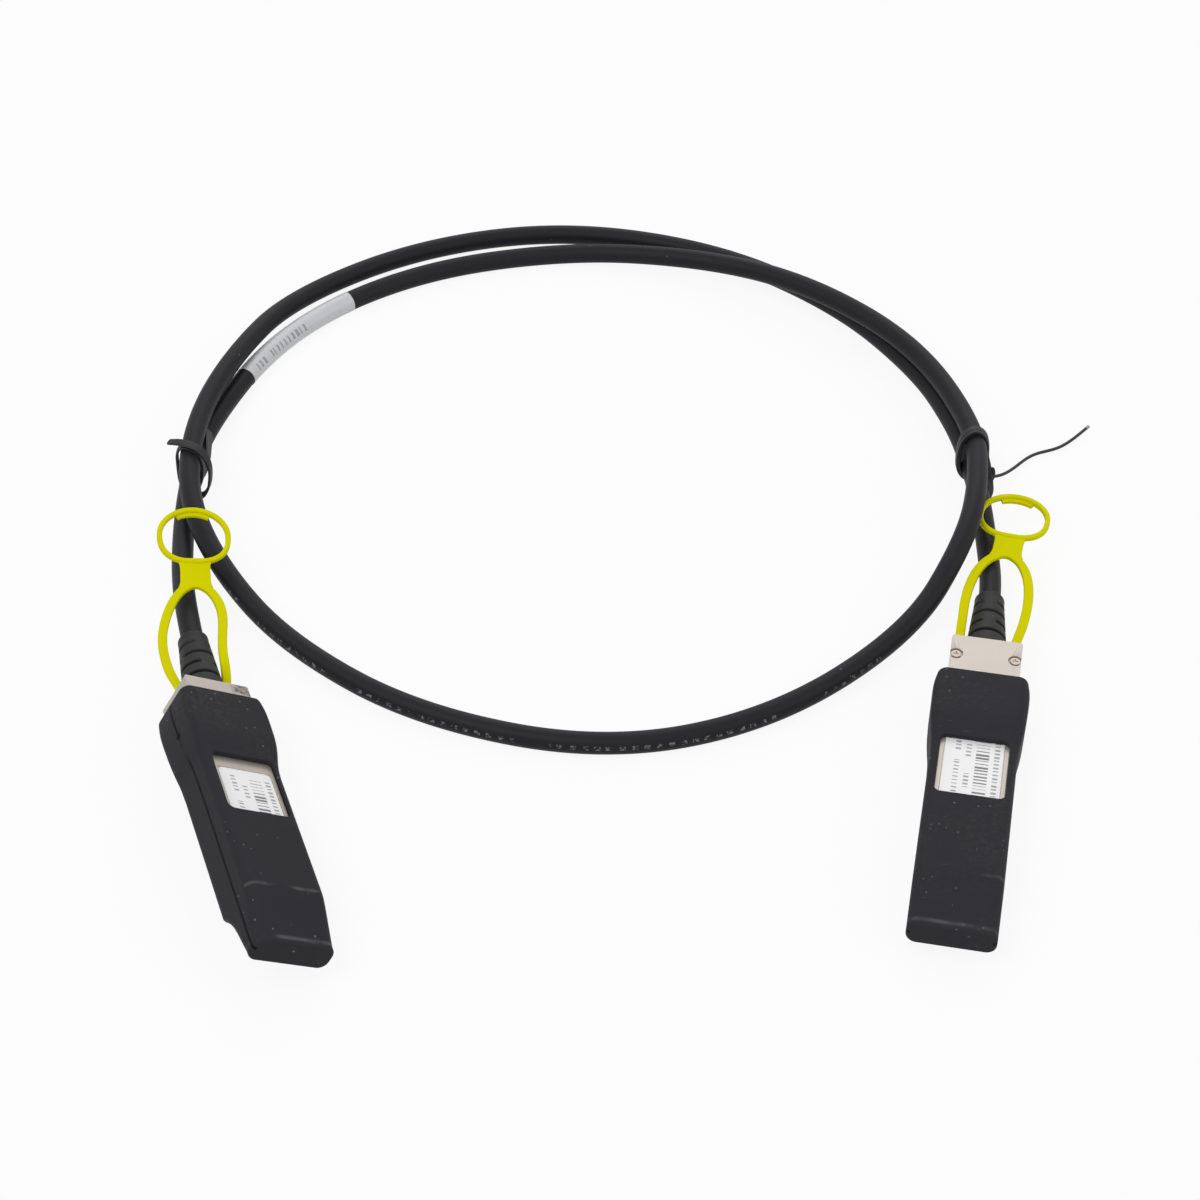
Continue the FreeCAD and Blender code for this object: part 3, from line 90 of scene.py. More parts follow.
# ---- node graphs
class Term:
    """One value in a node graph, given by an output socket, so that sums are written as sums."""

    def __init__(self, graph: "Graph", socket: bpy.types.NodeSocket) -> None:
        self.graph, self.socket = graph, socket

    def __add__(self, other: "Term | float") -> "Term":
        """Sum."""
        return self.graph.math("ADD", self, other)

    def __sub__(self, other: "Term | float") -> "Term":
        """Difference."""
        return self.graph.math("SUBTRACT", self, other)

    def __mul__(self, other: "Term | float") -> "Term":
        """Product, or both where the values are 0 or 1."""
        return self.graph.math("MULTIPLY", self, other)

    def __truediv__(self, other: "Term | float") -> "Term":
        """Quotient."""
        return self.graph.math("DIVIDE", self, other)

    def __lt__(self, other: "Term | float") -> "Term":
        """1 where this value is the smaller one, else 0."""
        return self.graph.math("LESS_THAN", self, other)

    def __gt__(self, other: "Term | float") -> "Term":
        """1 where this value is the greater one, else 0."""
        return self.graph.math("GREATER_THAN", self, other)

    def __abs__(self) -> "Term":
        """Value without its sign."""
        return self.graph.math("ABSOLUTE", self)


class Graph:
    """Short way to build the node graph of a material or a world, down to its output node."""

    def __init__(self, owner: Material | bpy.types.World, output: str = "OutputMaterial") -> None:
        owner.use_nodes = True
        self.owner, self.tree = owner, owner.node_tree
        self.tree.nodes.clear()
        self.out = self.add(output)

    def add(self, kind: str, inputs: dict | None = None, **settings: object) -> bpy.types.Node:
        """Add a node, set its properties and feed its inputs.

        Args:
            kind: Node type without its ShaderNode prefix.
            inputs: Values, terms or sockets by input name or index.
            settings: Properties of the node itself.

        Returns:
            The new node.
        """
        node = self.tree.nodes.new("ShaderNode" + kind)
        for key, value in settings.items():
            setattr(node, key, value)
        for key, value in (inputs or {}).items():
            value = value.socket if isinstance(value, Term) else value
            if isinstance(value, bpy.types.NodeSocket):
                self.tree.links.new(value, node.inputs[key])
            else:
                node.inputs[key].default_value = value
        return node

    def term(self, output: int | str, kind: str, inputs: dict | None = None, **settings: object) -> Term:
        """Add a node as add does, and take one of its outputs as a term."""
        return Term(self, self.add(kind, inputs, **settings).outputs[output])

    def math(self, operation: str, first: Term | float, second: Term | float = 0.0) -> Term:
        """Result of a math node on two values."""
        return self.term(0, "Math", {0: first, 1: second}, operation=operation)

    def noise(self, vector: Term, scale: float, detail: float, distortion: float = 0.0) -> Term:
        """Plain noise of a scale, in steps of detail."""
        values = {"Vector": vector, "Scale": scale, "Detail": detail, "Distortion": distortion}
        return self.term("Fac", "TexNoise", values)

    def cells(self, vector: Term, scale: float) -> bpy.types.bpy_prop_collection:
        """Outputs of scattered cells: distance from each one's middle, and its colour."""
        return self.add("TexVoronoi", {"Vector": vector, "Scale": scale, "Randomness": 1.0}).outputs

    def ramp(self, value: Term, low: float, high: float) -> Term:
        """Value that runs from 0 to 1 as the given one goes from low to high."""
        return self.term("Result", "MapRange", {"Value": value, "From Min": low, "From Max": high})

    def patches(self, vector: Term, noise: Pair, edge: Pair) -> Term:
        """Patches of 1 on 0: noise, given by scale and detail, ramped over an edge."""
        return self.ramp(self.noise(vector, *noise), *edge)

    def window(self, value: Term, low: float, high: float) -> Term:
        """1 between two values, and 0 outside."""
        return (value > low) * (value < high)

    def line(self, value: Term, at: float, half: float) -> Term:
        """1 on a line of a value, fading to 0 at half a width from it."""
        return self.ramp(abs(value - at), half, 0.25 * half)

    def mix(self, factor: Term, first: object, second: object) -> Term:
        """Blend of two colours."""
        return self.term(2, "Mix", {0: factor, 6: first, 7: second}, data_type="RGBA")

    def parts(self, vector: Term) -> list[Term]:
        """The three parts of a vector."""
        return [Term(self, output) for output in self.add("SeparateXYZ", {0: vector}).outputs]

    def seat(self) -> list[Term]:
        """Millimetres in the connector's own axes, from the seat attribute."""
        return self.parts(self.term("Vector", "Attribute", attribute_name="seat"))

    def surface(self, kind: str, inputs: dict) -> Material | bpy.types.World:
        """Add the last shader, join it to the output and hand back the owner."""
        self.tree.links.new(self.add(kind, inputs).outputs[0], self.out.inputs["Surface"])
        return self.owner


def rgba(colour: Rgb, share: float = 1.0) -> tuple[float, float, float, float]:
    """Colour scaled by a share, with full alpha."""
    return (*(part * share for part in colour), 1.0)


def grey(level: float) -> tuple[float, float, float, float]:
    """Grey of one level, with full alpha."""
    return rgba((level, level, level))


# ---- finishes
@dataclass(frozen=True)
class Finish:
    """Surface whose colour and roughness drift with broad noise, under a fine grain.

    Pairs for noise are its scale and detail. The values set here are a moulded plastic's.
    """

    name: str
    colour: Rgb
    roughness: float = 0.42
    rough_drift: float = 0.12
    specular: float = 0.3
    metallic: float = 0.0
    tones: Pair = (0.94, 1.0)
    broad: Pair = (90.0, 3.0)
    grain: Pair = (1800.0, 2.0)
    grain_depth: float = 0.000008

    def paint(self, graph: Graph, place: Term, tone: Term) -> tuple[Term, Term]:
        """Colour over the plain tone, and the surface's height, at object coordinates."""
        return tone, graph.noise(place, *self.grain)

    def material(self) -> Material:
        """Build the material."""
        graph = Graph(bpy.data.materials.new(self.name))
        place = graph.term("Object", "TexCoord")
        broad = graph.noise(place, *self.broad)
        tone = graph.mix(broad, *[rgba(self.colour, share) for share in self.tones])
        colour, height = self.paint(graph, place, tone)
        rough = self.roughness
        if self.rough_drift:
            rough = broad * self.rough_drift + (self.roughness - self.rough_drift / 2)
        bump = {"Height": height, "Distance": self.grain_depth, "Strength": 1.0}
        return graph.surface("BsdfPrincipled", {
            "Base Color": colour, "Roughness": rough, "Metallic": self.metallic,
            "Specular IOR Level": self.specular, "Normal": graph.term("Normal", "Bump", bump),
        })


@dataclass(frozen=True)
class RubberFinish(Finish):
    """Matt rubber or soft plastic under light dust specks, powder and hair scuffs."""

    roughness: float = 0.6
    rough_drift: float = 0.16
    specular: float = 0.22
    tones: Pair = (0.86, 1.14)
    broad: Pair = (60.0, 4.0)
    grain: Pair = (2600.0, 2.0)
    grain_depth: float = 0.000012
    dust: float = 0.3
    dust_scale: float = 620.0
    dust_size: float = 0.176
    haze: float = 0.2
    scuffs: float = 0.12
    dust_level: float = 0.36

    def dusted(self, graph: Graph, place: Term, tone: Term) -> Term:
        """Tone under small cells' middles as specks, powder, and noise stretched into scuffs."""
        cells = graph.cells(place, self.dust_scale)
        size = graph.term(0, "SeparateColor", {0: cells["Color"]}) * self.dust_size
        dot = Term(graph, cells["Distance"]) < size
        speck = dot * graph.patches(place, (75.0, 2.0), (0.48, 0.6)) * self.dust
        powder = graph.noise(place, 900.0, 4.0) * graph.noise(place, 2400.0, 2.0)
        haze = graph.patches(place, (34.0, 5.0), (0.5, 0.72)) * graph.ramp(powder, 0.2, 0.42)
        drawn = {"Vector": place, "Rotation": (0.0, 0.0, 0.7), "Scale": (1.0, 9.0, 1.0)}
        hairs = graph.noise(graph.term(0, "Mapping", drawn), 260.0, 1.0, 0.6)
        hairs = graph.ramp(hairs, 0.71, 0.78)
        scratch = hairs * graph.patches(place, (48.0, 2.0), (0.55, 0.65))
        cover = speck + haze * (self.haze * self.dust) + scratch * self.scuffs
        return graph.mix(cover, tone, grey(self.dust_level))

    def paint(self, graph: Graph, place: Term, tone: Term) -> tuple[Term, Term]:
        """Dusted tone over the plain grain."""
        return self.dusted(graph, place, tone), graph.noise(place, *self.grain)


@dataclass(frozen=True)
class CapRubber(RubberFinish):
    """Rubber of the dust cap: painted highlight on its crease and tip, and a parting line with one pit in its
    sides, darkened as painted shade.

    Its places are millimetres in the connector's own axes; crease and tip count from the mouth.
    """

    mouth: float = 3.8
    crease: float = 49.8
    crease_half: float = 0.5
    tip: float = 60.2
    tip_half: float = 0.55
    top: float = 8.0
    side: float = 7.3
    seam: float = 5.0
    seam_half: float = 0.5
    pit: float = 13.0
    pit_radius: float = 0.75
    # Strength and grey of the painted highlight on the crease and tip.
    edge_highlight: float = 0.16
    edge_highlight_level: float = 0.4
    # Depth of the grooves, then strength and grey of the painted shade in them.
    groove_depth: float = 6.0
    groove_shade_cover: float = 0.93
    groove_shade_level: float = 0.001

    def grooves(self, graph: Graph, place: Term) -> Term:
        """1 in the wandering parting line and in the ragged pit, and 0 elsewhere."""
        a, b, c = graph.seat()
        drift = c + (graph.noise(place, 45.0, 1.0) - 0.5) * 0.5
        flank = abs(b) > self.side
        seam = graph.line(drift, self.seam, self.seam_half) * flank
        seam = seam * graph.patches(place, (70.0, 2.0), (0.36, 0.46))
        away, above = a - self.pit, c - self.seam
        ragged = graph.math("SQRT", away * away + above * above) + graph.noise(place, 900.0, 2.0) * 0.3
        pit = graph.ramp(ragged, self.pit_radius + 0.2, self.pit_radius) * flank
        return graph.math("MAXIMUM", seam, pit)

    def paint(self, graph: Graph, place: Term, tone: Term) -> tuple[Term, Term]:
        """Dusted tone with painted highlight on the crease and tip, and painted shade in the grooves, which
        are also sunk.
        """
        a, _, c = graph.seat()
        # Painted highlight: pale lines where the crease on top and the rounded tip face the light, broken
        # into patches.
        patchy = graph.patches(place, (150.0, 3.0), (0.42, 0.6))
        crease = graph.line(a, self.mouth + self.crease, self.crease_half) * ((c > self.top) * patchy)
        tip = graph.line(a, self.mouth + self.tip, self.tip_half) * patchy
        pale = graph.math("MAXIMUM", crease, tip) * self.edge_highlight
        lifted = graph.mix(pale, self.dusted(graph, place, tone), grey(self.edge_highlight_level))
        # Painted shade: the parting line and the pit are darkened nearly to black, besides being sunk by the
        # bump.
        dark = self.grooves(graph, place)
        height = graph.noise(place, *self.grain) - dark * self.groove_depth
        return graph.mix(dark * self.groove_shade_cover, lifted, grey(self.groove_shade_level)), height


@dataclass(frozen=True)
class MetalFinish(Finish):
    """Plated or stamped metal with a fine sparkle of grain and, if wanted, a patch of painted shade beside
    the strain relief.
    """

    rough_drift: float = 0.2
    metallic: float = 0.6
    tones: Pair = (0.91, 1.0)
    broad: Pair = (140.0, 5.0)
    grain: Pair = (3800.0, 3.0)
    grain_depth: float = 0.000007
    # Painted shade beside the strain relief: whether to paint it, its colour, and its ramps across and along.
    paints_boot_shade: bool = False
    boot_shade: Rgb = (0.05, 0.05, 0.048)
    boot_shade_across: Pair = (2.6, 4.0)
    boot_shade_along: Pair = (4.2, 2.4)

    def paint(self, graph: Graph, place: Term, tone: Term) -> tuple[Term, Term]:
        """Tone, with painted shade: a mottled dark patch on the back of the cover beside the strain relief.
        """
        if self.paints_boot_shade:
            # Painted shade: a mottled dark patch at the cover's back corner, next to the strain relief.
            a, b, _ = graph.seat()
            patch = graph.ramp(b, *self.boot_shade_across) * graph.ramp(a, *self.boot_shade_along)
            patch = patch * graph.patches(place, (1100.0, 5.0), (0.3, 0.68))
            tone = graph.mix(patch, tone, rgba(self.boot_shade))
        return tone, graph.noise(place, *self.grain)


@dataclass(frozen=True, kw_only=True)
class SheathFinish(Finish):
    """Extruded cable jacket: matt black, lengthwise drag lines, dust, and worn print ticks.

    The piece's own UV map gives millimetres along the cable and turns round it.
    """

    print_span: Pair
    print_turn: float
    print_half_turn: float = 0.031
    print_strength: float = 0.4
    tick_pitch: float = 2.3
    ink: Rgb = (0.42, 0.42, 0.45)
    dust: float = 0.2
    dust_scale: float = 300.0
    dust_size: float = 0.07
    dust_level: float = 0.4
    relief: float = 0.6
    roughness: float = 0.5
    rough_drift: float = 0.16
    specular: float = 0.14
    tones: Pair = (0.86, 1.16)
    broad: Pair = (45.0, 4.0)
    grain: Pair = (2400.0, 2.0)
    grain_depth: float = 0.00001

    def paint(self, graph: Graph, place: Term, tone: Term) -> tuple[Term, Term]:
        """Ticks repeat along U inside a band of V and fade with noise; drag lines run along U."""
        own = graph.term("UV", "TexCoord")
        along, turn, _ = graph.parts(own)
        cells = graph.cells(place, self.dust_scale)
        speck = (Term(graph, cells["Distance"]) < self.dust_size)
        speck = speck * graph.patches(place, (70.0, 2.0), (0.5, 0.62))
        dusty = graph.mix(speck * self.dust, tone, grey(self.dust_level))
        tick = graph.math("FRACT", along / self.tick_pitch) < graph.noise(own, 0.9, 1.0) * 0.7 + 0.15
        band = abs(turn - self.print_turn) < self.print_half_turn
        patchy = graph.patches(place, (1500.0, 3.0), (0.47, 0.6))
        words = graph.patches(own, (0.075, 0.0), (0.42, 0.44))
        mark = tick * band * (graph.window(along, *self.print_span) * patchy) * words
        colour = graph.mix(mark * self.print_strength, dusty, rgba(self.ink))
        drawn = graph.term(0, "Mapping", {"Vector": own, "Scale": (0.35, 90.0, 1.0)})
        lines = graph.noise(drawn, 1.0, 2.0) * self.relief
        return colour, lines + graph.noise(place, *self.grain) * self.relief


@dataclass(frozen=True, kw_only=True)
class PrintedFilm(Finish):
    """White film with rows of plain dashes and, if wanted, one block of bars.

    The piece's UV map gives millimetres from the film's corner. Strips of noise along U alone set
    how long each dash and how thick each bar is.
    """

    rows: tuple[float, ...]
    row_span: Pair
    row_height: float
    row_strength: float = 0.75
    row_indent: float = 2.4
    dash_pitch: float = 0.9
    dash_scale: float = 0.8
    dash_range: Pair = (0.08, 0.75)
    word_scale: float = 0.24
    word_gap: float = 0.4
    bars: tuple[Pair, Pair] | None = None
    bar_pitch: float = 0.8
    colour: Rgb = (0.97, 0.97, 0.975)
    ink: Rgb = (0.07, 0.07, 0.075)
    ink_strength: float = 0.85
    roughness: float = 0.45
    rough_drift: float = 0.0
    specular: float = 0.5
    tones: Pair = (0.96, 1.0)
    broad: Pair = (120.0, 3.0)
    grain: Pair = (700.0, 2.0)
    grain_depth: float = 0.000006

    def _dashes(self, graph: Graph, u: Term, index: int) -> Term:
        """Dashes of one row: a fraction of U under a jittered length, left out between words."""
        strip = graph.term(0, "CombineXYZ", {0: u, 1: 7.3 * index + 3.1})
        least, spread = self.dash_range
        length = graph.noise(strip, self.dash_scale, 0.0) * spread + least
        dash = graph.math("FRACT", u / self.dash_pitch + 0.37 * index) < length
        return (graph.noise(strip, self.word_scale, 0.0) > self.word_gap) * dash

    def paint(self, graph: Graph, place: Term, tone: Term) -> tuple[Term, Term]:
        """Each row is a window in V, cut into dashes; the bars are a window cut into stripes."""
        u, v, _ = graph.parts(graph.term("UV", "TexCoord"))
        print_cover: Term | float = 0.0
        for index, row in enumerate(self.rows):
            first = self.row_span[0] + self.row_indent * (index % 2)
            across = graph.window(v, row, row + self.row_height)
            along = graph.window(u, first, self.row_span[1])
            line = across * along * self._dashes(graph, u, index) * self.row_strength
            print_cover = graph.math("MAXIMUM", print_cover, line)
        if self.bars is not None:
            strip = graph.term(0, "CombineXYZ", {0: u, 1: 51.7})
            thick = graph.patches(strip, (0.9, 0.0), (0.34, 0.66)) * 0.5 + 0.14
            stripe = graph.math("FRACT", u / self.bar_pitch) < thick
            block = graph.window(u, *self.bars[0]) * graph.window(v, *self.bars[1])
            print_cover = graph.math("MAXIMUM", print_cover, block * stripe)
        colour = graph.mix(print_cover * self.ink_strength, tone, rgba(self.ink))
        return colour, graph.noise(place, *self.grain)


# ---- surfaces
def in_scene(name: str, data: bpy.types.ID) -> Piece:
    """New object that shows the data, linked into the scene."""
    made = bpy.data.objects.new(name, data)
    bpy.context.scene.collection.objects.link(made)
    return made


def mesh_object(name: str, points: Array, quads: Array, uv: Array | None = None,
                smooth_angle: float = SMOOTH_ANGLE) -> Piece:
    """Make a mesh object from whole arrays.

    Args:
        name: Name of the piece.
        points: Vertices, one row each.
        quads: Vertex numbers of each face, four a row; a repeated last number makes a triangle.
        uv: UV of each face corner, if the material reads one.
        smooth_angle: Edges sharper than this many degrees stay sharp.

    Returns:
        The object, at the origin, in the scene.
    """
    mesh = bpy.data.meshes.new(name)
    faces = [tuple(row[:3]) if row[3] == row[2] else tuple(row) for row in quads.tolist()]
    mesh.from_pydata(points.tolist(), [], faces)
    if uv is not None:
        layer = mesh.uv_layers.new(name="UVMap")
        layer.data.foreach_set("uv", uv.reshape(-1).astype(np.float32))
    mesh.shade_smooth()
    mesh.set_sharp_from_angle(angle=math.radians(smooth_angle))
    mesh.update()
    return in_scene(name, mesh)


def grid_quads(rows: int, columns: int, wrap_rows: bool) -> Array:
    """Vertex numbers of each face of a grid whose last column, and last row if asked, joins the first."""
    spans = np.arange(rows if wrap_rows else rows - 1), np.arange(columns)
    i, j = [axis.reshape(-1) for axis in np.meshgrid(*spans, indexing="ij")]
    below, beside = (i + 1) % rows, (j + 1) % columns
    corners = (i * columns + j, below * columns + j, below * columns + beside, i * columns + beside)
    return np.stack(corners, axis=1)


def skin(name: str, grid: Array, closed_path: bool = False, uv: Array | None = None,
         smooth_angle: float = SMOOTH_ANGLE) -> Piece:
    """Close a grid of cross-sections into a solid skin.

    The grid holds one cross-section a row, each going once round. Open ends are closed by a fan to
    the middle of the end section.

    Args:
        name: Name of the piece.
        grid: Points, shaped sections by points round by 3.
        closed_path: Whether the last section joins the first.
        uv: UV of each grid point, shaped sections by points round by 2; the seam column is the last.
        smooth_angle: Edges sharper than this many degrees stay sharp.

    Returns:
        The piece.
    """
    rows, columns = grid.shape[:2]
    points = grid.reshape(-1, 3)
    quads = grid_quads(rows, columns, closed_path)
    if not closed_path:
        ring = np.arange(columns)
        after = (ring + 1) % columns
        last = (rows - 1) * columns
        hub = np.full(columns, len(points))
        points = np.concatenate([points, [grid[0].mean(axis=0), grid[-1].mean(axis=0)]])
        low = np.stack([ring, after, hub, hub], axis=1)
        high = np.stack([last + after, last + ring, hub + 1, hub + 1], axis=1)
        quads = np.concatenate([quads, low, high])
    corner_uv = None if uv is None else corner_coordinates(quads, uv)
    piece = mesh_object(name, points, quads, corner_uv, smooth_angle)
    face_outwards(piece.data)
    return piece


def stand_in(piece: Piece, finish: Material, body: str, node: str) -> Piece:
    """Dress a piece, ride it on a body and hide the CAD node that it stands for."""
    piece.data.materials.append(finish)
    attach(piece, body)
    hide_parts(node)
    return piece


def corner_coordinates(quads: Array, uv: Array) -> Array:
    """UV of each face corner of a wrapped grid, with the seam unwrapped.

    The first column's V is carried on past one turn in the faces that join it to the last one, so no
    face runs back across the whole map.
    """
    flat = uv.reshape(-1, 2)
    spots = np.concatenate([flat, flat[:1], flat[-1:]])[quads]
    v = spots[..., 1]
    highest, columns = uv[..., 1].max(), uv.shape[1]
    crossing = np.ptp(v, axis=1) > 0.5 * np.ptp(uv[..., 1])
    v += np.where(crossing[:, None] & (v < 0.5 * highest), highest * columns / (columns - 1), 0.0)
    used = np.ones(quads.shape, dtype=bool)
    used[:, 3] = quads[:, 3] != quads[:, 2]
    return spots[used]


def mesh_points(mesh: bpy.types.Mesh) -> Array:
    """Places of a mesh's vertices, one row each."""
    points = np.empty(len(mesh.vertices) * 3, dtype=np.float32)
    mesh.vertices.foreach_get("co", points)
    return points.reshape(-1, 3).astype(float)


def face_outwards(mesh: bpy.types.Mesh) -> None:
    """Flip the mesh if its enclosed volume comes out negative."""
    mesh.calc_loop_triangles()
    points = mesh_points(mesh)
    corners = np.empty(len(mesh.loop_triangles) * 3, dtype=np.int32)
    mesh.loop_triangles.foreach_get("vertices", corners)
    a, b, c = [points[corners[k::3]] for k in range(3)]
    if np.einsum("ij,ij->i", a, np.cross(b, c)).sum() < 0:
        mesh.flip_normals()


def unit(vectors: Array) -> Array:
    """Vectors scaled to length one."""
    return vectors / np.linalg.norm(vectors, axis=-1, keepdims=True)


def even_path(points: Array, count: int) -> Array:
    """Points spaced evenly along a line, by linear steps between the given ones."""
    steps = np.linalg.norm(np.diff(points, axis=0), axis=1)
    travelled = np.concatenate([[0.0], np.cumsum(steps)])
    wanted = np.linspace(0.0, travelled[-1], count)
    return np.stack([np.interp(wanted, travelled, points[:, k]) for k in range(3)], axis=1)


def carried(path: Array, profile: Array, up: Array = UP) -> Array:
    """Carry a profile along a path: each point is path + across x first + above x second.

    Forward is the path's slope, across is up x forward, and above is forward x across.

    Args:
        path: Points of the path.
        profile: Outline in (across, up), or one outline for each path point.
        up: Direction that the profile's second axis stays near.

    Returns:
        Grid of points, path points by outline points by 3.
    """
    forward = unit(np.gradient(path, axis=0))
    across = unit(np.cross(np.broadcast_to(up, forward.shape), forward))
    above = np.cross(forward, across)
    if profile.ndim == 2:
        profile = np.broadcast_to(profile, (len(path),) + profile.shape)
    return path[:, None] + profile[..., :1] * across[:, None] + profile[..., 1:] * above[:, None]


def angles_round(count: int) -> Array:
    """Angles spread evenly over one turn."""
    return np.linspace(0.0, 2 * math.pi, count, endpoint=False)


def quarter_fall(share: Array) -> Array:
    """Fall of a unit circle from its top, 1 - sqrt(1 - t^2), at a share t of its radius."""
    return 1 - np.sqrt(np.maximum(1 - share ** 2, 0.0))


def circle_profile(radius: float, count: int) -> Array:
    """Circle of a radius as points round."""
    angle = angles_round(count)
    return radius * np.stack([np.cos(angle), np.sin(angle)], axis=1)


def rounded_profile(width: float | Array, height: float, radius: float, steps: int = 4) -> Array:
    """Rounded rectangle: quarter circles of a radius round its four corner centres.

    Args:
        width: One width, or one for each section.
        height: Height of every section.
        radius: Radius of the corners.
        steps: Steps in each quarter circle.

    Returns:
        Points of (across, up), for one section or for each.
    """
    quarter = np.linspace(0.0, math.pi / 2, steps + 1)
    turn = (quarter[None] + np.arange(4)[:, None] * math.pi / 2).reshape(-1)
    right = np.repeat([1.0, -1.0, -1.0, 1.0], steps + 1)
    above = np.repeat([1.0, 1.0, -1.0, -1.0], steps + 1)
    across = (np.asarray(width)[..., None] / 2 - radius) * right + radius * np.cos(turn)
    up = np.broadcast_to((height / 2 - radius) * above + radius * np.sin(turn), across.shape)
    return np.stack([across, up], axis=-1)


def ribbed_profile(width: float, thickness: float, ribs: int, depth: float, count: int = 72) -> Array:
    """Flat strap section: a squared-off oval whose faces are raised by a wave of ribs across it."""
    angle = angles_round(count)
    across = width / 2 * np.sign(np.cos(angle)) * np.abs(np.cos(angle)) ** 0.6
    flat = np.sign(np.sin(angle)) * np.abs(np.sin(angle)) ** 0.35
    wave = 1.0 + depth * np.cos(2 * math.pi * ribs * across / width)
    return np.stack([across, thickness / 2 * flat * wave], axis=1)


def through(points: list[tuple[float, ...]], count: int, knots: Array | None = None) -> Array:
    """Points on a natural cubic spline through given points.

    Each stretch is a cubic whose second derivative runs straight from one end's value to the other's.
    Those values come from one linear system that makes the slopes meet.

    Args:
        points: Points that the line goes through.
        count: Number of points wanted, spread evenly over the knots.
        knots: Parameter at each point, or None for the distance between them.

    Returns:
        Points on the line, one row each.
    """
    places = np.asarray(points, dtype=float)
    if knots is None:
        knots = np.concatenate([[0.0], np.cumsum(np.linalg.norm(np.diff(places, axis=0), axis=1))])
    steps = np.diff(knots)
    inner = np.arange(1, len(places) - 1)
    system = np.eye(len(places))
    system[inner, inner - 1] = steps[:-1]
    system[inner, inner] = 2 * (steps[:-1] + steps[1:])
    system[inner, inner + 1] = steps[1:]
    pull = np.zeros_like(places)
    pull[1:-1] = 6 * np.diff(np.diff(places, axis=0) / steps[:, None], axis=0)
    bend = np.linalg.solve(system, pull)
    wanted = np.linspace(knots[0], knots[-1], count)
    span = np.clip(np.searchsorted(knots, wanted) - 1, 0, len(steps) - 1)
    ahead = ((wanted - knots[span]) / steps[span])[:, None]
    behind = 1 - ahead
    curve = (behind ** 3 - behind) * bend[span] + (ahead ** 3 - ahead) * bend[span + 1]
    return behind * places[span] + ahead * places[span + 1] + curve * steps[span][:, None] ** 2 / 6


def spline_points(name: str, corners: list[Point], resolution: int) -> Array:
    """Points of the open NURBS spline of order 3 that has the corners as its control points."""
    curve = bpy.data.curves.new(name, "CURVE")
    curve.dimensions = "3D"
    curve.resolution_u = resolution
    spline = curve.splines.new("NURBS")
    spline.points.add(len(corners) - 1)
    for point, corner in zip(spline.points, corners):
        point.co = (*corner, 1.0)
    spline.order_u = 3
    spline.use_endpoint_u = True
    holder = bpy.data.objects.new(name, curve)
    mesh = bpy.data.meshes.new_from_object(holder)
    points = mesh_points(mesh)
    bpy.data.objects.remove(holder)
    bpy.data.curves.remove(curve)
    bpy.data.meshes.remove(mesh)
    return points


# ---- connector frame
@dataclass(frozen=True)
class Seat:
    """Place and axes of one connector, read from the record's mounts."""

    side: Side
    origin: Array
    axes: Array
    plug_length: float = 54.8 * MM
    body_height: float = 8.5 * MM

    def world(self, points: Array) -> Array:
        """Points of the connector's frame in the shared frame."""
        return self.origin + np.asarray(points) @ self.axes

    def own(self, name: str) -> str:
        """Name of one of this connector's nodes, bodies, pieces or finishes."""
        return f"{self.side.value}_{name}"


def find_seat(side: Side) -> Seat:
    """Work out a connector's frame from its nose and latch mounts.

    The nose mount gives a and a point on the axis, the latch mount gives c, and b is c x a.
    """
    mounts = {mount["name"]: mount for mount in frame["record"]["mounts"]}
    nose, latch = mounts[f"{side.value}_nose"], mounts[f"{side.value}_latch"]
    a = unit(np.array(nose["axis"], dtype=float))
    c = -unit(np.array(latch["axis"], dtype=float))
    axes = np.stack([a, np.cross(c, a), c])
    origin = np.array(nose["pos_m"]) - Seat.plug_length * a - Seat.body_height / 2 * c
    return Seat(side, origin, axes)


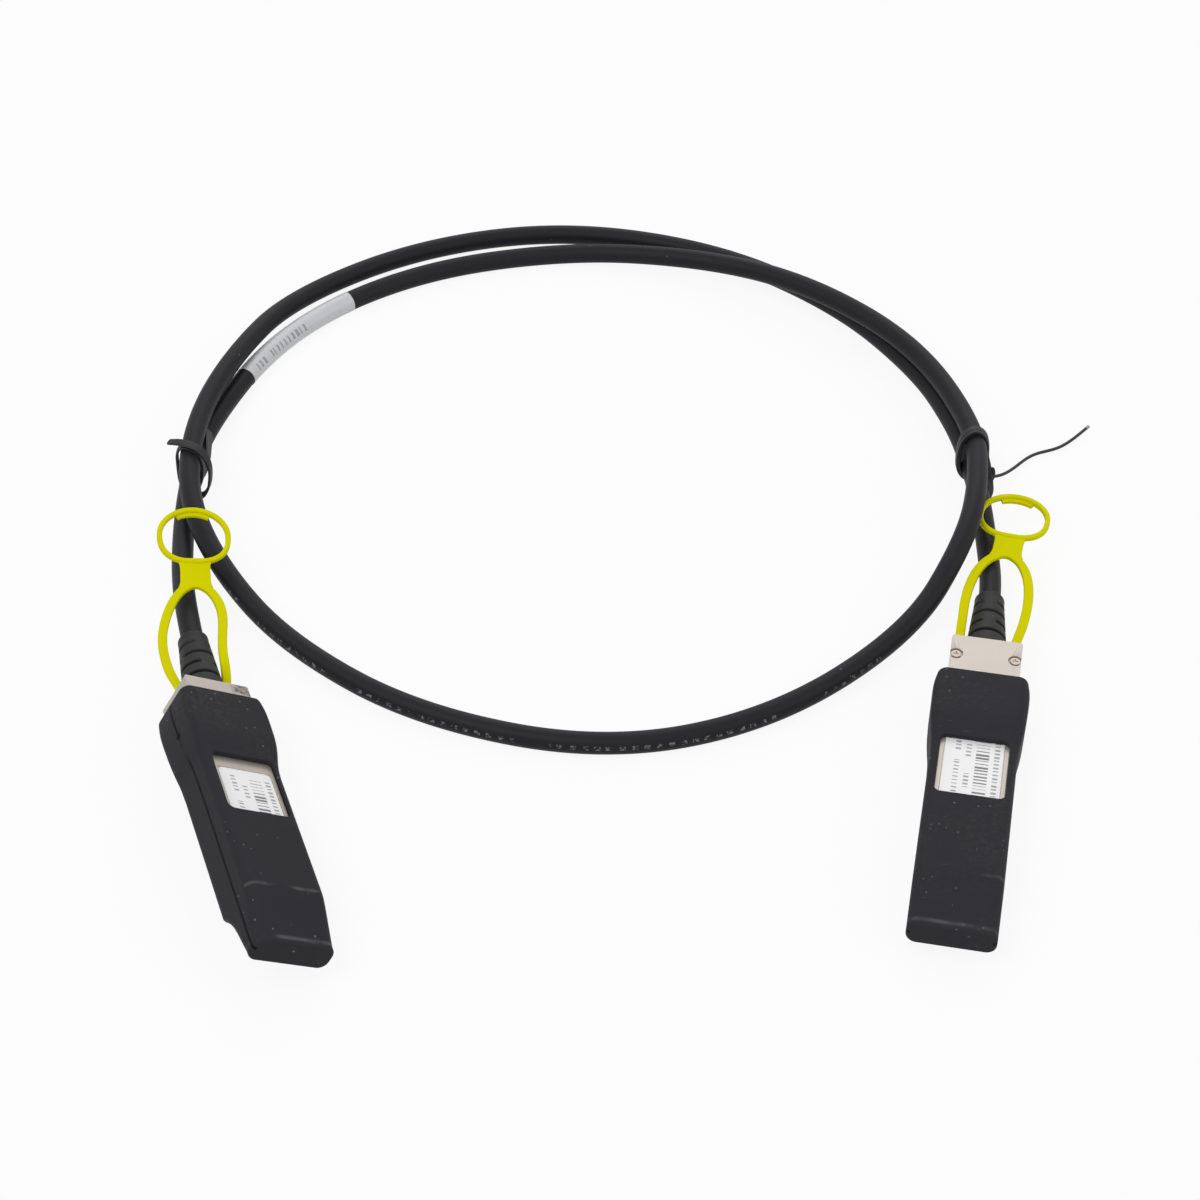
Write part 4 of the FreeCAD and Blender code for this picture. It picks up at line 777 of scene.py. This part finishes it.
# ---- cable
@dataclass
class CableRun:
    """The free cable: a round tube along its route, and the wrap label on it."""

    diameter: float = 4.4 * MM
    columns: int = 36
    rows: int = 1500
    resolution: int = 24
    wrap_from: float = 0.0912
    wrap_length: float = 0.0355
    wrap_stand: float = 0.13 * MM
    wrap_gap: float = 0.02 * MM
    wrap_lap: float = 0.06 * MM
    path: Array = field(init=False)
    length: float = field(init=False)

    def __post_init__(self) -> None:
        """Read the path from the route's spline."""
        self.path = even_path(spline_points("route", CORD_ROUTE, self.resolution), self.rows)
        self.length = float(np.linalg.norm(np.diff(self.path, axis=0), axis=1).sum())

    def tube_uv(self, rows: int, length: float) -> Array:
        """UV of a tube: millimetres along, turns round from the outer side."""
        u = np.linspace(0.0, length, rows) / MM
        v = np.arange(self.columns) / self.columns
        return np.stack(np.meshgrid(u, v, indexing="ij"), axis=2)

    def build(self) -> Piece:
        grid = carried(self.path, circle_profile(self.diameter / 2, self.columns))
        sheath = skin("sheath", grid, uv=self.tube_uv(self.rows, self.length))
        finish = SheathFinish("sheath_black", (0.0138, 0.0135, 0.0168),
                              print_span=(372.0, 520.0), print_turn=0.045)
        return stand_in(sheath, finish.material(), "root", "cable_jacket")

    def wrap(self) -> Piece:
        """Make the wrap label: a thin open-ended sleeve on the cable with one overlapping edge."""
        step = self.length / (self.rows - 1)
        first = int(self.wrap_from / step)
        last = first + int(self.wrap_length / step)
        centre = self.path[first:last + 1]
        ring = circle_profile(1.0, self.columns)
        fall = self.wrap_lap * (1 - np.arange(self.columns) / self.columns)
        skin_out = carried(centre, ring * (self.diameter / 2 + self.wrap_stand - fall)[:, None])
        skin_in = carried(centre, ring * (self.diameter / 2 + self.wrap_gap))[::-1]
        uv = self.tube_uv(len(centre), self.wrap_length)
        label = skin("wrap_film", np.concatenate([skin_out, skin_in]), closed_path=True,
                     uv=np.concatenate([uv, uv[::-1]]))
        finish = PrintedFilm("wrap_white", rows=(0.335,), row_span=(2.0, 21.0), row_height=0.12,
                             dash_pitch=1.35, row_strength=0.65, colour=(0.6, 0.62, 0.635), roughness=0.32)
        return stand_in(label, finish.material(), "root", "cable_wrap_label")


# ---- strain relief
@dataclass
class StrainRelief:
    """Tapered moulding with staggered slots, turned on the cable's axis."""

    seat: Seat
    length: float = 17.0 * MM
    base_radius: float = 4.15 * MM
    tip_radius: float = 3.0 * MM
    bore_radius: float = 2.23 * MM
    collar: float = 1.6 * MM
    rounding: float = 0.55 * MM
    slot_width: float = 0.72 * MM
    slot_edge: float = 0.09 * MM
    slot_first: float = 3.8 * MM
    slot_pitch: float = 3.2 * MM
    slot_count: int = 4
    slot_floor: float = 2.75 * MM
    side_web: float = 0.75 * MM
    top_web: float = 1.5 * MM
    axis_height: float = 4.75 * MM
    rows: int = 260
    columns: int = 144

    def radius_at(self, x: Array, angle: Array) -> Array:
        """Outer radius: a straight taper, less the slots, with the tip rounded over.

        A slot is a dip whose edges roll over within a tenth of a millimetre, present where the web
        beside it is not.
        """
        share = np.clip(-x / (self.length - self.collar), 0.0, 1.0)
        radius = self.base_radius + (self.tip_radius - self.base_radius) * share
        from_tip = np.clip((x + self.length) / self.rounding, 0.0, 1.0)
        radius = radius - self.rounding * quarter_fall(1 - from_tip)
        for index in range(self.slot_count):
            middle = -self.slot_first - index * self.slot_pitch
            along = 0.5 - 0.5 * np.tanh((np.abs(x - middle) - self.slot_width / 2) / self.slot_edge)
            if index % 2 == 0:
                clear = np.abs(radius * np.sin(angle)) - self.side_web
            else:
                clear = np.abs(radius * np.cos(angle)) - self.top_web
            present = 0.5 + 0.5 * np.tanh(clear / (2 * self.slot_edge))
            radius = radius + (self.slot_floor - radius) * along * present
        return radius

    def build(self) -> Piece:
        """Make the moulding as a closed skin: outside, tip face, bore and back face in one turn.

        Each point is the axis plus its radius times the direction round the axis, where angle 0 is
        across the connector and a quarter turn is up.
        """
        angle = angles_round(self.columns)
        x = np.linspace(-self.length, 0.0, self.rows)
        outer = self.radius_at(x[:, None], angle[None])
        bore = np.full((2, self.columns), self.bore_radius)
        radii = np.concatenate([bore[:1], outer, bore[1:]])
        along = np.broadcast_to(np.concatenate([x[:1], x, x[-1:]])[:, None], radii.shape)
        local = np.stack([along, radii * np.cos(angle), radii * np.sin(angle)], axis=-1)
        grid = self.seat.world(local @ self.lean().T + self.axis_height * UP)
        boot = skin(self.seat.own("boot_moulding"), grid, closed_path=True, smooth_angle=50.0)
        finish = RubberFinish(self.seat.own("boot_black"), (0.019, 0.019, 0.021), roughness=0.55, dust=0.12)
        return stand_in(boot, finish.material(), "root", self.seat.own("strain_relief"))

    def lean(self) -> Array:
        """Rotation that points the moulding's axis at the cable's end."""
        ends = {Side.LEFT: CORD_ROUTE[0], Side.RIGHT: CORD_ROUTE[-1]}
        root = self.seat.world(self.axis_height * UP)
        x_axis = unit((root - np.array(ends[self.seat.side])) @ self.seat.axes.T)
        y_axis = unit(np.cross(UP, x_axis))
        return np.stack([x_axis, y_axis, np.cross(x_axis, y_axis)], axis=1)


# ---- pull tab
@dataclass
class PullTab:
    """One yellow moulding: two straps that close into an oval, a neck, a finger ring and its lip.

    Its plan is given as distance back from the head and across. Past the straps it lies in one plane
    that is swung, lifted and twisted about the middle of the head's back wall.
    """

    seat: Seat
    swing: float
    lift: float
    twist: float
    bow: float = 0.0
    pinch: float = 0.0
    bow_centre: float = 13.0
    bow_width: float = 9.0
    curl: float = 0.0
    curl_start: float = 22.9
    curl_length: float = 10.2
    plane_height: float = 4.73
    thickness: float = 1.0
    edge: float = 0.26
    blend_start: float = 0.5
    blend_end: float = 10.0
    ring_centre: float = 40.2
    ring_half_length: float = 6.5
    ring_half_width: float = 7.34
    ring_band: float = 1.05
    ring_height: float = 1.26
    ring_squareness: float = 0.8
    ring_rise: float = 0.12
    ring_edge: float = 0.4
    lip_reach: float = 0.72
    lip_half_width: float = 3.25
    lip_overlap: float = 0.5
    lip_height: float = 0.8
    lip_edge: float = 0.16
    lip_drop: float = 0.28
    neck_sink: float = 0.06
    band_sections: int = 241
    neck_sections: int = 61
    ring_sections: int = 180
    lip_sections: int = 41
    band_stations: tuple[tuple[float, float, float, float], ...] = (
        (-2.4, 4.32, -2.4, 5.98), (0.6, 4.32, 0.6, 5.98), (5.0, 4.62, 5.0, 6.42), (10.0, 5.05, 10.0, 6.9),
        (15.0, 5.2, 15.0, 7.08), (19.5, 4.85, 19.7, 6.72), (23.2, 4.03, 23.8, 5.75), (26.0, 2.75, 26.9, 4.2),
        (27.5, 1.35, 29.0, 2.2), (28.05, 0.0, 29.7, 0.0),
    )
    neck_stations: tuple[tuple[float, float], ...] = (
        (28.15, 3.42), (28.8, 3.18), (29.6, 3.02), (30.6, 2.98), (32.7, 2.98), (33.5, 3.16),
        (34.1, 3.6),
    )

    def place(self, back: Array, across: Array, up: Array) -> Array:
        """Carry plan points into the shared frame.

        Past its start the plan curls up along a circle, then runs on straight at the curl's angle. The
        turn's share grows as a smooth step 3t^2 - 2t^3 over the blend. The point is turned about the
        lengthwise axis by the twist, then lifted, then swung, each by that share.

        Args:
            back: Distance back from the head, in millimetres.
            across: Distance across.
            up: Height above the tab's middle plane.
        """
        step = np.clip((back - self.blend_start) / (self.blend_end - self.blend_start), 0.0, 1.0)
        share = step * step * (3 - 2 * step)
        middle = np.exp(-(((back - self.bow_centre) / self.bow_width) ** 2)) * share
        across = across * (1 - self.pinch * middle) + self.bow * middle
        full = math.radians(self.curl) + 1e-9
        bend = full * np.clip((back - self.curl_start) / self.curl_length, 0.0, 1.0)
        radius, rest = self.curl_length / full, np.maximum(back - self.curl_start - self.curl_length, 0.0)
        out = np.minimum(back, self.curl_start) + (radius - up) * np.sin(bend) + rest * np.cos(bend)
        rise = radius * (1 - np.cos(bend)) + rest * np.sin(bend) + up * np.cos(bend)
        roll, pitch, yaw = [np.radians(angle) * share for angle in (self.twist, self.lift, -self.swing)]
        y = across * np.cos(roll) - rise * np.sin(roll)
        z = across * np.sin(roll) + rise * np.cos(roll)
        x = -out * np.cos(pitch) + z * np.sin(pitch)
        z = out * np.sin(pitch) + z * np.cos(pitch) + self.plane_height
        turned = x * np.cos(yaw) - y * np.sin(yaw), x * np.sin(yaw) + y * np.cos(yaw)
        return self.seat.world(np.stack([*turned, z], axis=-1) * MM)

    def bands(self) -> Piece:
        """Both straps and the oval in one sweep.

        Inner and outer outlines are splines over the same stations, mirrored about the middle. The
        section at each station is a rounded rectangle from the inner to the outer point.
        """
        stations = np.array(self.band_stations)
        mirrored = stations[-2::-1] * [1, -1, 1, -1]
        line = through(np.concatenate([stations, mirrored]).tolist(), self.band_sections,
                       np.arange(2 * len(stations) - 1.0))
        inner, outer = line[:, :2], line[:, 2:]
        width = np.linalg.norm(outer - inner, axis=1)
        outwards = (outer - inner) / width[:, None]
        section = rounded_profile(width, self.thickness, self.edge)
        plan = (inner + outer)[:, None] / 2 + section[..., :1] * outwards[:, None]
        return skin(self.seat.own("tab_bands"), self.place(plan[..., 0], plan[..., 1], section[..., 1]))

    def neck(self) -> Piece:
        """Plate between oval and ring: half width from the stations, far end curved like the ring."""
        half_width = through(list(self.neck_stations), self.neck_sections)
        section = rounded_profile(2 * half_width[:, 1], self.thickness - self.neck_sink, self.edge)
        across = section[..., 0]
        middle = self.ring_half_width - self.ring_band / 2
        curve = (self.ring_half_length - self.ring_band / 2) * quarter_fall(across / middle)
        share = np.linspace(0.0, 1.0, len(half_width))[:, None] ** 2
        back = half_width[:, :1] + share * curve
        return skin(self.seat.own("tab_neck"), self.place(back, across, section[..., 1]))

    def _round_ring(self, angle: Array, inset: float, section: Array, rise: float) -> Array:
        """Section carried along an oval inside the ring's outline: centre + (half size - inset) x turn.

        Cosine and sine to a power under 1 square off the side near the neck.
        """
        turn = np.stack([np.cos(angle), np.sin(angle)], axis=1)
        power = np.where(turn[:, :1] < 0, self.ring_squareness, 1.0)
        turn = np.sign(turn) * np.abs(turn) ** power
        size = np.array([self.ring_half_length - inset, self.ring_half_width - inset])
        normal = unit(turn / size)
        plan = (turn * size)[:, None] + section[..., :1] * normal[:, None] + [self.ring_centre, 0.0]
        return self.place(plan[..., 0], plan[..., 1], np.broadcast_to(section[..., 1] + rise, plan.shape[:2]))

    def ring(self) -> Piece:
        """Finger ring: a rounded section carried once round the ellipse."""
        section = rounded_profile(self.ring_band, self.ring_height, self.ring_edge, steps=6)
        grid = self._round_ring(angles_round(self.ring_sections), self.ring_band / 2, section, self.ring_rise)
        return skin(self.seat.own("tab_ring"), grid, closed_path=True)

    def lip(self) -> Piece:
        """Fingernail lip inside the ring's far side, cut off square at both ends."""
        half = math.asin(self.lip_half_width / (self.ring_half_width - self.ring_band))
        section = rounded_profile(self.lip_reach + self.lip_overlap, self.lip_height, self.lip_edge)
        inset = self.ring_band + (self.lip_reach - self.lip_overlap) / 2
        angle = np.linspace(-half, half, self.lip_sections)
        grid = self._round_ring(angle, inset, section, -self.lip_drop)
        return skin(self.seat.own("tab_lip"), grid)

    def build(self, finish: Material) -> list[Piece]:
        """Make the pieces and let them stand for the CAD tab."""
        return [stand_in(piece, finish, self.seat.own("release"), self.seat.own("pull_tab"))
                for piece in (self.bands(), self.neck(), self.ring(), self.lip())]


# ---- printed label
@dataclass
class ProductLabel:
    """Printed film in the cover's pocket, with rounded corners."""

    seat: Seat
    start: float = 23.5
    length: float = 21.5
    width: float = 11.0
    corner: float = 1.1
    floor: float = 8.35
    top: float = 8.47
    steps: int = 9
    columns: int = 25

    def build(self, finish: Material) -> Piece:
        """Make the film: half width is full less the corner circle's dip near each end."""
        near = self.corner * (1 - np.cos(np.linspace(0.0, math.pi / 2, self.steps)))
        middle = np.linspace(self.corner, self.length - self.corner, self.steps)[1:-1]
        x = np.concatenate([near, middle, self.length - near[::-1]])
        from_end = np.minimum(np.minimum(x, self.length - x), self.corner)
        dip = self.corner * quarter_fall(1 - from_end / self.corner)
        q = np.linspace(-1.0, 1.0, self.columns)
        y = (self.width / 2 - dip)[:, None] * np.concatenate([q, q[::-1]])[None]
        z = np.broadcast_to(np.repeat([self.top, self.floor], self.columns)[None], y.shape)
        along = np.broadcast_to(x[:, None], y.shape)
        grid = self.seat.world(np.stack([along + self.start, y, z], axis=-1) * MM)
        uv = np.stack([along, y + self.width / 2], axis=-1)
        film = skin(self.seat.own("label_film"), grid, uv=uv)
        return stand_in(film, finish, "root", self.seat.own("product_label"))


# ---- ties
@dataclass(frozen=True)
class TieRun:
    """One stretch of a tie: its line, the way its flat face looks, and its section."""

    name: str
    line: tuple[Point, ...]
    faces: tuple[Point, ...]
    width: float
    thickness: float
    ribs: int = 0
    bare: bool = False
    steps: int = 28
    rib_depth: float = 0.1
    tip_size: float = 0.6

    def build(self) -> Piece:
        """Carry the section along a spline through the line, its face turned as given."""
        count = self.steps * (len(self.line) - 1) + 1
        path = through([tuple(c * MM for c in point) for point in self.line], count)
        given = np.linspace(0.0, 1.0, len(self.faces))
        wanted = np.linspace(0.0, 1.0, count)
        faces = np.array(self.faces, dtype=float)
        up = unit(np.stack([np.interp(wanted, given, faces[:, k]) for k in range(3)], axis=1))
        depth = self.rib_depth if self.ribs else 0.0
        section = ribbed_profile(self.width * MM, self.thickness * MM, self.ribs, depth)
        ends = np.clip(np.minimum(wanted, 1 - wanted) * count / 3, 0.0, 1.0)
        size = 1 - (1 - self.tip_size) * quarter_fall(1 - ends)
        return skin(self.name, carried(path, section * size[:, None, None], up), smooth_angle=60.0)


LEFT_TIE = (
    TieRun("left_tie_strap", (
        (-92.9, 75, 11), (-90.6, 74.3, 11.5), (-88.4, 73.3, 11.8), (-86.2, 72.1, 11.5), (-84.6, 71, 10.1),
        (-83.9, 70.2, 8), (-84, 69.9, 5.6), (-84.6, 69.3, 3.2), (-85.9, 69, 1.4), (-88.2, 70.4, 0.72),
        (-90.4, 72.6, 1.2), (-91.3, 74, 3.2), (-91.4, 74.4, 6), (-91, 74.4, 9), (-89.6, 73.9, 10.8),
        (-87.5, 73, 10.8), (-86.1, 72.2, 9.6), (-85.6, 71.6, 6.8), (-86.2, 71.1, 3.8), (-87.6, 71.2, 1.3),
    ), (
        (0.1, 0.1, 1), (0, -0.1, 1), (0.1, -0.1, 1), (0.3, -0.2, 1), (0.8, -0.2, 0.6),
        (1, -0.2, 0.2), (1, -0.2, 0), (1, 0, -0.3), (0.6, 0, -0.8), (0, 0, -1),
        (-0.6, 0, -0.8), (-1, 0, -0.3), (-1, 0, 0.1), (-1, 0, 0.4), (-0.4, 0, 1),
        (0.3, 0, 1), (0.8, 0, 0.6), (1, 0, 0), (1, 0, -0.3), (0.3, 0, -1),
    ), width=1.75, thickness=0.55, ribs=4),
    TieRun("left_tie_end", (
        (-86, 84.5, 6), (-85.6, 81, 6.2), (-85.3, 77.5, 6.2), (-85.4, 74.4, 5.6), (-86.1, 72.4, 3.8),
        (-87.2, 71.6, 1.5),
    ), ((0.9, -0.2, 0.6), (0.9, -0.2, 0.6), (1, -0.1, 0.4), (0.9, -0.1, 0.3), (0.9, -0.1, 0.2), (0.6, 0, -1)),
        width=2.1, thickness=0.8, ribs=3),
)

RIGHT_TIE = (
    TieRun("right_tie_band", (
        (80.5, 75.9, 3.2), (80.3, 77.2, 5.6), (80.1, 77.9, 8.4), (79.1, 78.2, 10.6), (77.2, 78, 11.6),
        (75.3, 77.4, 10.5), (74.4, 76.7, 8.2), (74.2, 76.2, 5.4), (74.7, 75.9, 2.8), (76.2, 75.7, 1.1),
        (78.4, 75.4, 1), (80, 75.1, 2), (80.6, 74.7, 3.6),
    ), (
        (1, 0, -0.2), (1, 0, 0.1), (1, 0, 0.5), (0.6, 0, 1), (0, 0, 1), (-0.6, 0, 0.8),
        (-1, 0, 0.3), (-1, 0, 0), (-1, 0, -0.4), (-0.4, 0, -1), (0.2, 0, -1),
        (0.8, 0, -0.6), (1, 0, 0),
    ), width=2.3, thickness=1.1, ribs=2),
    TieRun("right_tie_hook", (
        (80.2, 77, 4.6), (80.3, 75.6, 4.4), (80.5, 74, 3.7), (80.6, 72, 2.9), (80.4, 70, 2.3),
        (79.7, 68.4, 1.7), (78.7, 67.6, 1.25),
    ), ((1, 0, 0.1), (1, 0, 0.1), (1, 0, 0.2), (1, 0, 0.2), (1, 0, -0.2), (0.6, 0, -0.8),
        (0.1, 0, -1)), width=1.9, thickness=1.6, ribs=2),
    TieRun("right_tie_twist", (
        (79.9, 74.3, 2.2), (80.8, 74.7, 3.1), (81.5, 74, 4.1), (81.5, 72.9, 3.6), (80.8, 72.1, 2.7),
        (80.3, 72.9, 1.8),
    ), ((0, 0, 1), (1, 0, 0.3), (1, 0, 0.3), (1, 0, 0), (0.3, 0, -1), (0, 0, -1)),
        width=0.95, thickness=0.8),
    TieRun("right_tie_tail", (
        (80.4, 72.5, 3.4), (83, 74.1, 2.4), (87.7, 78.8, 1.3), (92, 82.9, 0.8), (96.9, 85, 0.7),
        (100.3, 87.4, 0.9), (104.1, 91.1, 1.26),
    ), ((0, 0, 1), (0, 0, 1)), width=0.56, thickness=0.56),
    TieRun("right_tie_tip", (
        (103.9, 90.9, 1.24), (104.2, 91.2, 1.27), (104.6, 91.6, 1.3),
    ), ((0, 0, 1), (0, 0, 1)), width=0.62, thickness=0.62, bare=True),
)


def build_tie(runs: tuple[TieRun, ...], node: str, finish: Material, bare: Material) -> list[Piece]:
    """Make every stretch of a tie, in its finish or as bare wire, and let them stand for its node."""
    return [stand_in(run.build(), bare if run.bare else finish, "root", node) for run in runs]


# ---- softened castings
@dataclass
class SoftEdged:
    """A CAD node's own form with its sharp edges rolled over, for rubber and castings."""

    seat: Seat
    node: str
    body: str
    slot_name: str
    roll: float
    segments: int = 3
    sharp: float = 33.0
    flat: float = 0.6
    merge: float = 2e-6

    def build(self, finish: Material) -> Piece:
        """Copy the node's mesh, merge its corners, drop the seams of its flat faces and roll its edges.

        A vector attribute named seat keeps each point's millimetres in the connector's own axes.
        """
        name = self.seat.own(self.node)
        mesh = frame["nodes"][name].data.copy()
        form = bmesh.new()
        form.from_mesh(mesh)
        bmesh.ops.remove_doubles(form, verts=form.verts, dist=self.merge)
        bmesh.ops.dissolve_limit(form, angle_limit=math.radians(self.flat), verts=form.verts,
                                 edges=form.edges)
        edges = [edge for edge in form.edges if len(edge.link_faces) == 2
                 and edge.calc_face_angle(0.0) > math.radians(self.sharp)]
        bmesh.ops.bevel(form, geom=edges, offset=self.roll, offset_type="OFFSET", segments=self.segments,
                        profile=0.5, affect="EDGES", clamp_overlap=True)
        bmesh.ops.triangulate(form, faces=form.faces)
        self.put_in_order(form.verts, lambda vert: vert.co)
        self.put_in_order(form.faces, lambda face: face.calc_center_median())
        form.to_mesh(mesh)
        form.free()
        piece = in_scene(self.seat.own(self.node + "_form"), mesh)
        mesh.materials.clear()
        mesh.shade_smooth()
        mesh.set_sharp_from_angle(angle=math.radians(SMOOTH_ANGLE))
        own = (mesh_points(mesh) - self.seat.origin) @ self.seat.axes.T / MM
        layer = mesh.attributes.new("seat", "FLOAT_VECTOR", "POINT")
        layer.data.foreach_set("vector", own.astype(np.float32).reshape(-1))
        normals = piece.modifiers.new("flat_faces", "WEIGHTED_NORMAL")
        normals.keep_sharp = True
        normals.weight = 100
        return stand_in(piece, finish, self.body, name)

    @staticmethod
    def put_in_order(parts: bmesh.types.BMVertSeq | bmesh.types.BMFaceSeq,
                     place: Callable[[object], Vector]) -> None:
        """Sort vertices or faces by their places, as the bevel makes them in no fixed order."""
        ranks = {part: rank for rank, part in enumerate(sorted(parts, key=lambda part: tuple(place(part))))}
        parts.sort(key=ranks.get)


# ---- studio
@dataclass
class Studio:
    """Floor, lights, world and camera."""

    camera_place: Point = (-0.0019, -0.3405, 0.36595)
    camera_tilt: float = 46.0
    lens: float = 77.664
    sensor_width: float = 36.0
    clip_start: float = 0.01
    floor_half: float = 3.0
    floor_grey: float = 0.9
    floor_glow: float = 0.9
    sky_strength: float = 0.42
    aim: Point = (0.0, 0.03, 0.0)

    def build(self) -> None:
        """Set up everything that isn't the object."""
        self.world()
        self.floor()
        self.lamp("key_panel", (-0.45, -0.35, 0.95), size=0.7, power=4.4)
        self.lamp("fill_panel", (0.85, -0.25, 0.65), size=0.8, power=2.0)
        self.lamp("back_panel", (0.1, 1.0, 0.8), size=0.9, power=3.2)
        self.camera()
        bpy.context.scene.view_settings.view_transform = "Standard"

    def background_rays(self, graph: Graph) -> Term:
        """1 for rays from the camera, a mirror or clear glass."""
        rays = graph.add("LightPath").outputs
        seen = graph.math("MAXIMUM", Term(graph, rays["Is Camera Ray"]), Term(graph, rays["Is Glossy Ray"]))
        return graph.math("MAXIMUM", seen, Term(graph, rays["Is Transmission Ray"]))

    def world(self) -> None:
        """Soft white surroundings, full white where they are seen or mirrored."""
        world = bpy.data.worlds.new("surroundings")
        bpy.context.scene.world = world
        graph = Graph(world, "OutputWorld")
        light, seen = [graph.add("Background", {"Color": grey(1.0), "Strength": strength}).outputs[0]
                       for strength in (self.sky_strength, 1.0)]
        graph.surface("MixShader", {0: self.background_rays(graph), 1: light, 2: seen})

    def floor(self) -> None:
        """Pale floor: lit matt white with most of its seen colour fixed, so shadows stay soft."""
        half = self.floor_half
        corners = np.array([(-half, -half, 0.0), (half, -half, 0.0), (half, half, 0.0), (-half, half, 0.0)])
        sheet = mesh_object("studio_floor", corners, np.array([[0, 1, 2, 3]]))
        graph = Graph(bpy.data.materials.new("floor_white"))
        matt = graph.add("BsdfDiffuse", {"Color": grey(self.floor_grey)}).outputs[0]
        glow = graph.add("Emission", {"Color": grey(1.0), "Strength": 1.0}).outputs[0]
        share = self.background_rays(graph) * self.floor_glow
        sheet.data.materials.append(graph.surface("MixShader", {0: share, 1: matt, 2: glow}))

    def lamp(self, name: str, place: Point, size: float, power: float) -> None:
        """Square area lamp aimed at the object's middle."""
        data = bpy.data.lights.new(name, "AREA")
        data.shape = "SQUARE"
        data.size = size
        data.energy = power
        lamp = in_scene(name, data)
        lamp.location = place
        lamp.rotation_euler = (Vector(self.aim) - Vector(place)).to_track_quat("-Z", "Y").to_euler()

    def camera(self) -> None:
        """Camera looking down at the cable from the front."""
        data = bpy.data.cameras.new("camera")
        data.sensor_width = self.sensor_width
        data.lens = self.lens
        data.clip_start = self.clip_start
        camera = in_scene("camera", data)
        camera.location = self.camera_place
        camera.rotation_euler = (math.radians(self.camera_tilt), 0.0, 0.0)
        bpy.context.scene.camera = camera


# ---- finishes of CAD nodes
def node_finishes() -> dict[str, Finish]:
    """Finish of each CAD node that stays visible, by its name without its side."""
    steel = MetalFinish("spring_steel", (0.45, 0.45, 0.45), roughness=0.36, metallic=0.9)
    return {
        "cover_screws": MetalFinish("screw_plate", (0.46, 0.395, 0.33), roughness=0.4, metallic=0.75),
        "shield_collar": MetalFinish("stamped_sheet", (0.56, 0.53, 0.49), roughness=0.34),
        "circuit_board": Finish("board_green", (0.02, 0.12, 0.05), roughness=0.3),
        "edge_contacts": MetalFinish("contact_gold", (0.73, 0.52, 0.17), roughness=0.26, metallic=1.0),
        "memory_chip": Finish("chip_black", (0.012, 0.012, 0.014), roughness=0.5),
        "coupling_capacitors": Finish("capacitor_tan", (0.40, 0.29, 0.17), roughness=0.35),
        "wire_leads": Finish("lead_insulation", (0.62, 0.62, 0.66), roughness=0.35),
        "crimp_ferrule": MetalFinish("ferrule_tin", (0.60, 0.58, 0.54)),
        "jacket_end": RubberFinish("jacket_end_black", (0.012, 0.012, 0.014), dust=0.0, scuffs=0.0),
        "release_slider": steel,
        "return_spring": steel,
    }


def dress_nodes() -> None:
    """Give every CAD node its material; those that a piece stands for get a spare one."""
    built: dict[Finish, Material] = {}
    finishes = node_finishes()
    spare = RubberFinish("spare_black", (0.03, 0.03, 0.03))
    for name, node in frame["nodes"].items():
        finish = finishes.get(name.split("_", 1)[1], spare)
        if finish not in built:
            built[finish] = finish.material()
        for slot in node.material_slots:
            slot.material = built[finish]


@dataclass
class Connector:
    """One end of the cable: shell, label, strain relief, pull tab and dust cap.

    The cap's mouth is so many millimetres from the back of the head.
    """

    seat: Seat
    mouth: float
    tab: PullTab

    def build(self, tab_finish: Material) -> None:
        """Make the connector's pieces in order."""
        # Only the left head's metal gets the painted shade beside its strain relief.
        metal = MetalFinish(self.seat.own("cast_nickel"), (0.50, 0.455, 0.41),
                            paints_boot_shade=self.seat.side is Side.LEFT).material()
        ink = PrintedFilm(self.seat.own("label_print"), rows=(2.0, 4.0, 9.3), row_span=(1.8, 19.8),
                          row_height=1.0, bars=((2.0, 19.2), (5.9, 8.4)))
        rubber = CapRubber(self.seat.own("cap_black"), (0.0305, 0.0300, 0.0345), specular=0.06,
                           mouth=self.mouth)
        cap = SoftEdged(self.seat, "dust_cap", self.seat.own("cap"), "cap_rubber", roll=0.32 * MM)
        pieces = [
            *[SoftEdged(self.seat, node, "root", "cast_shell", roll=0.12 * MM, segments=2).build(metal)
              for node in ("lower_housing", "top_cover")],
            ProductLabel(self.seat).build(ink.material()),
            StrainRelief(self.seat).build(),
            *self.tab.build(tab_finish),
            cap.build(rubber.material()),
        ]
        for piece in pieces:
            LOG.info("%s", piece.name)


def main() -> None:
    """Build the pieces in order and report each one."""
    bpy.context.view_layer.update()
    dress_nodes()
    Studio().build()
    cable = CableRun()
    sheath = cable.build()
    LOG.info("sheath %.3f m long", cable.length)
    wrap = cable.wrap()
    yellow = Finish("tab_yellow", (0.74, 0.71, 0.0), roughness=0.5, specular=0.02).material()
    left, right = find_seat(Side.LEFT), find_seat(Side.RIGHT)
    left_tab = PullTab(left, swing=6.0, lift=9.7, twist=22.2, bow=-1.55, pinch=0.06, curl=12.3)
    right_tab = PullTab(right, swing=3.5, lift=1.7, twist=0.0)
    Connector(left, mouth=3.8, tab=left_tab).build(yellow)
    Connector(right, mouth=9.85, tab=right_tab).build(yellow)
    plastic = RubberFinish("tie_black", (0.014, 0.014, 0.016), roughness=0.45, dust=0.05, specular=0.3)
    wire = MetalFinish("tie_wire", (0.3, 0.3, 0.3), roughness=0.45)
    looks = plastic.material(), wire.material()
    ties = build_tie(LEFT_TIE, "left_wire_tie", *looks) + build_tie(RIGHT_TIE, "right_wire_tie", *looks)
    LOG.info("%d stretches of tie", len(ties))


if __name__ == "__main__":
    logging.basicConfig(level=logging.INFO, format="%(name)s: %(message)s")
    main()
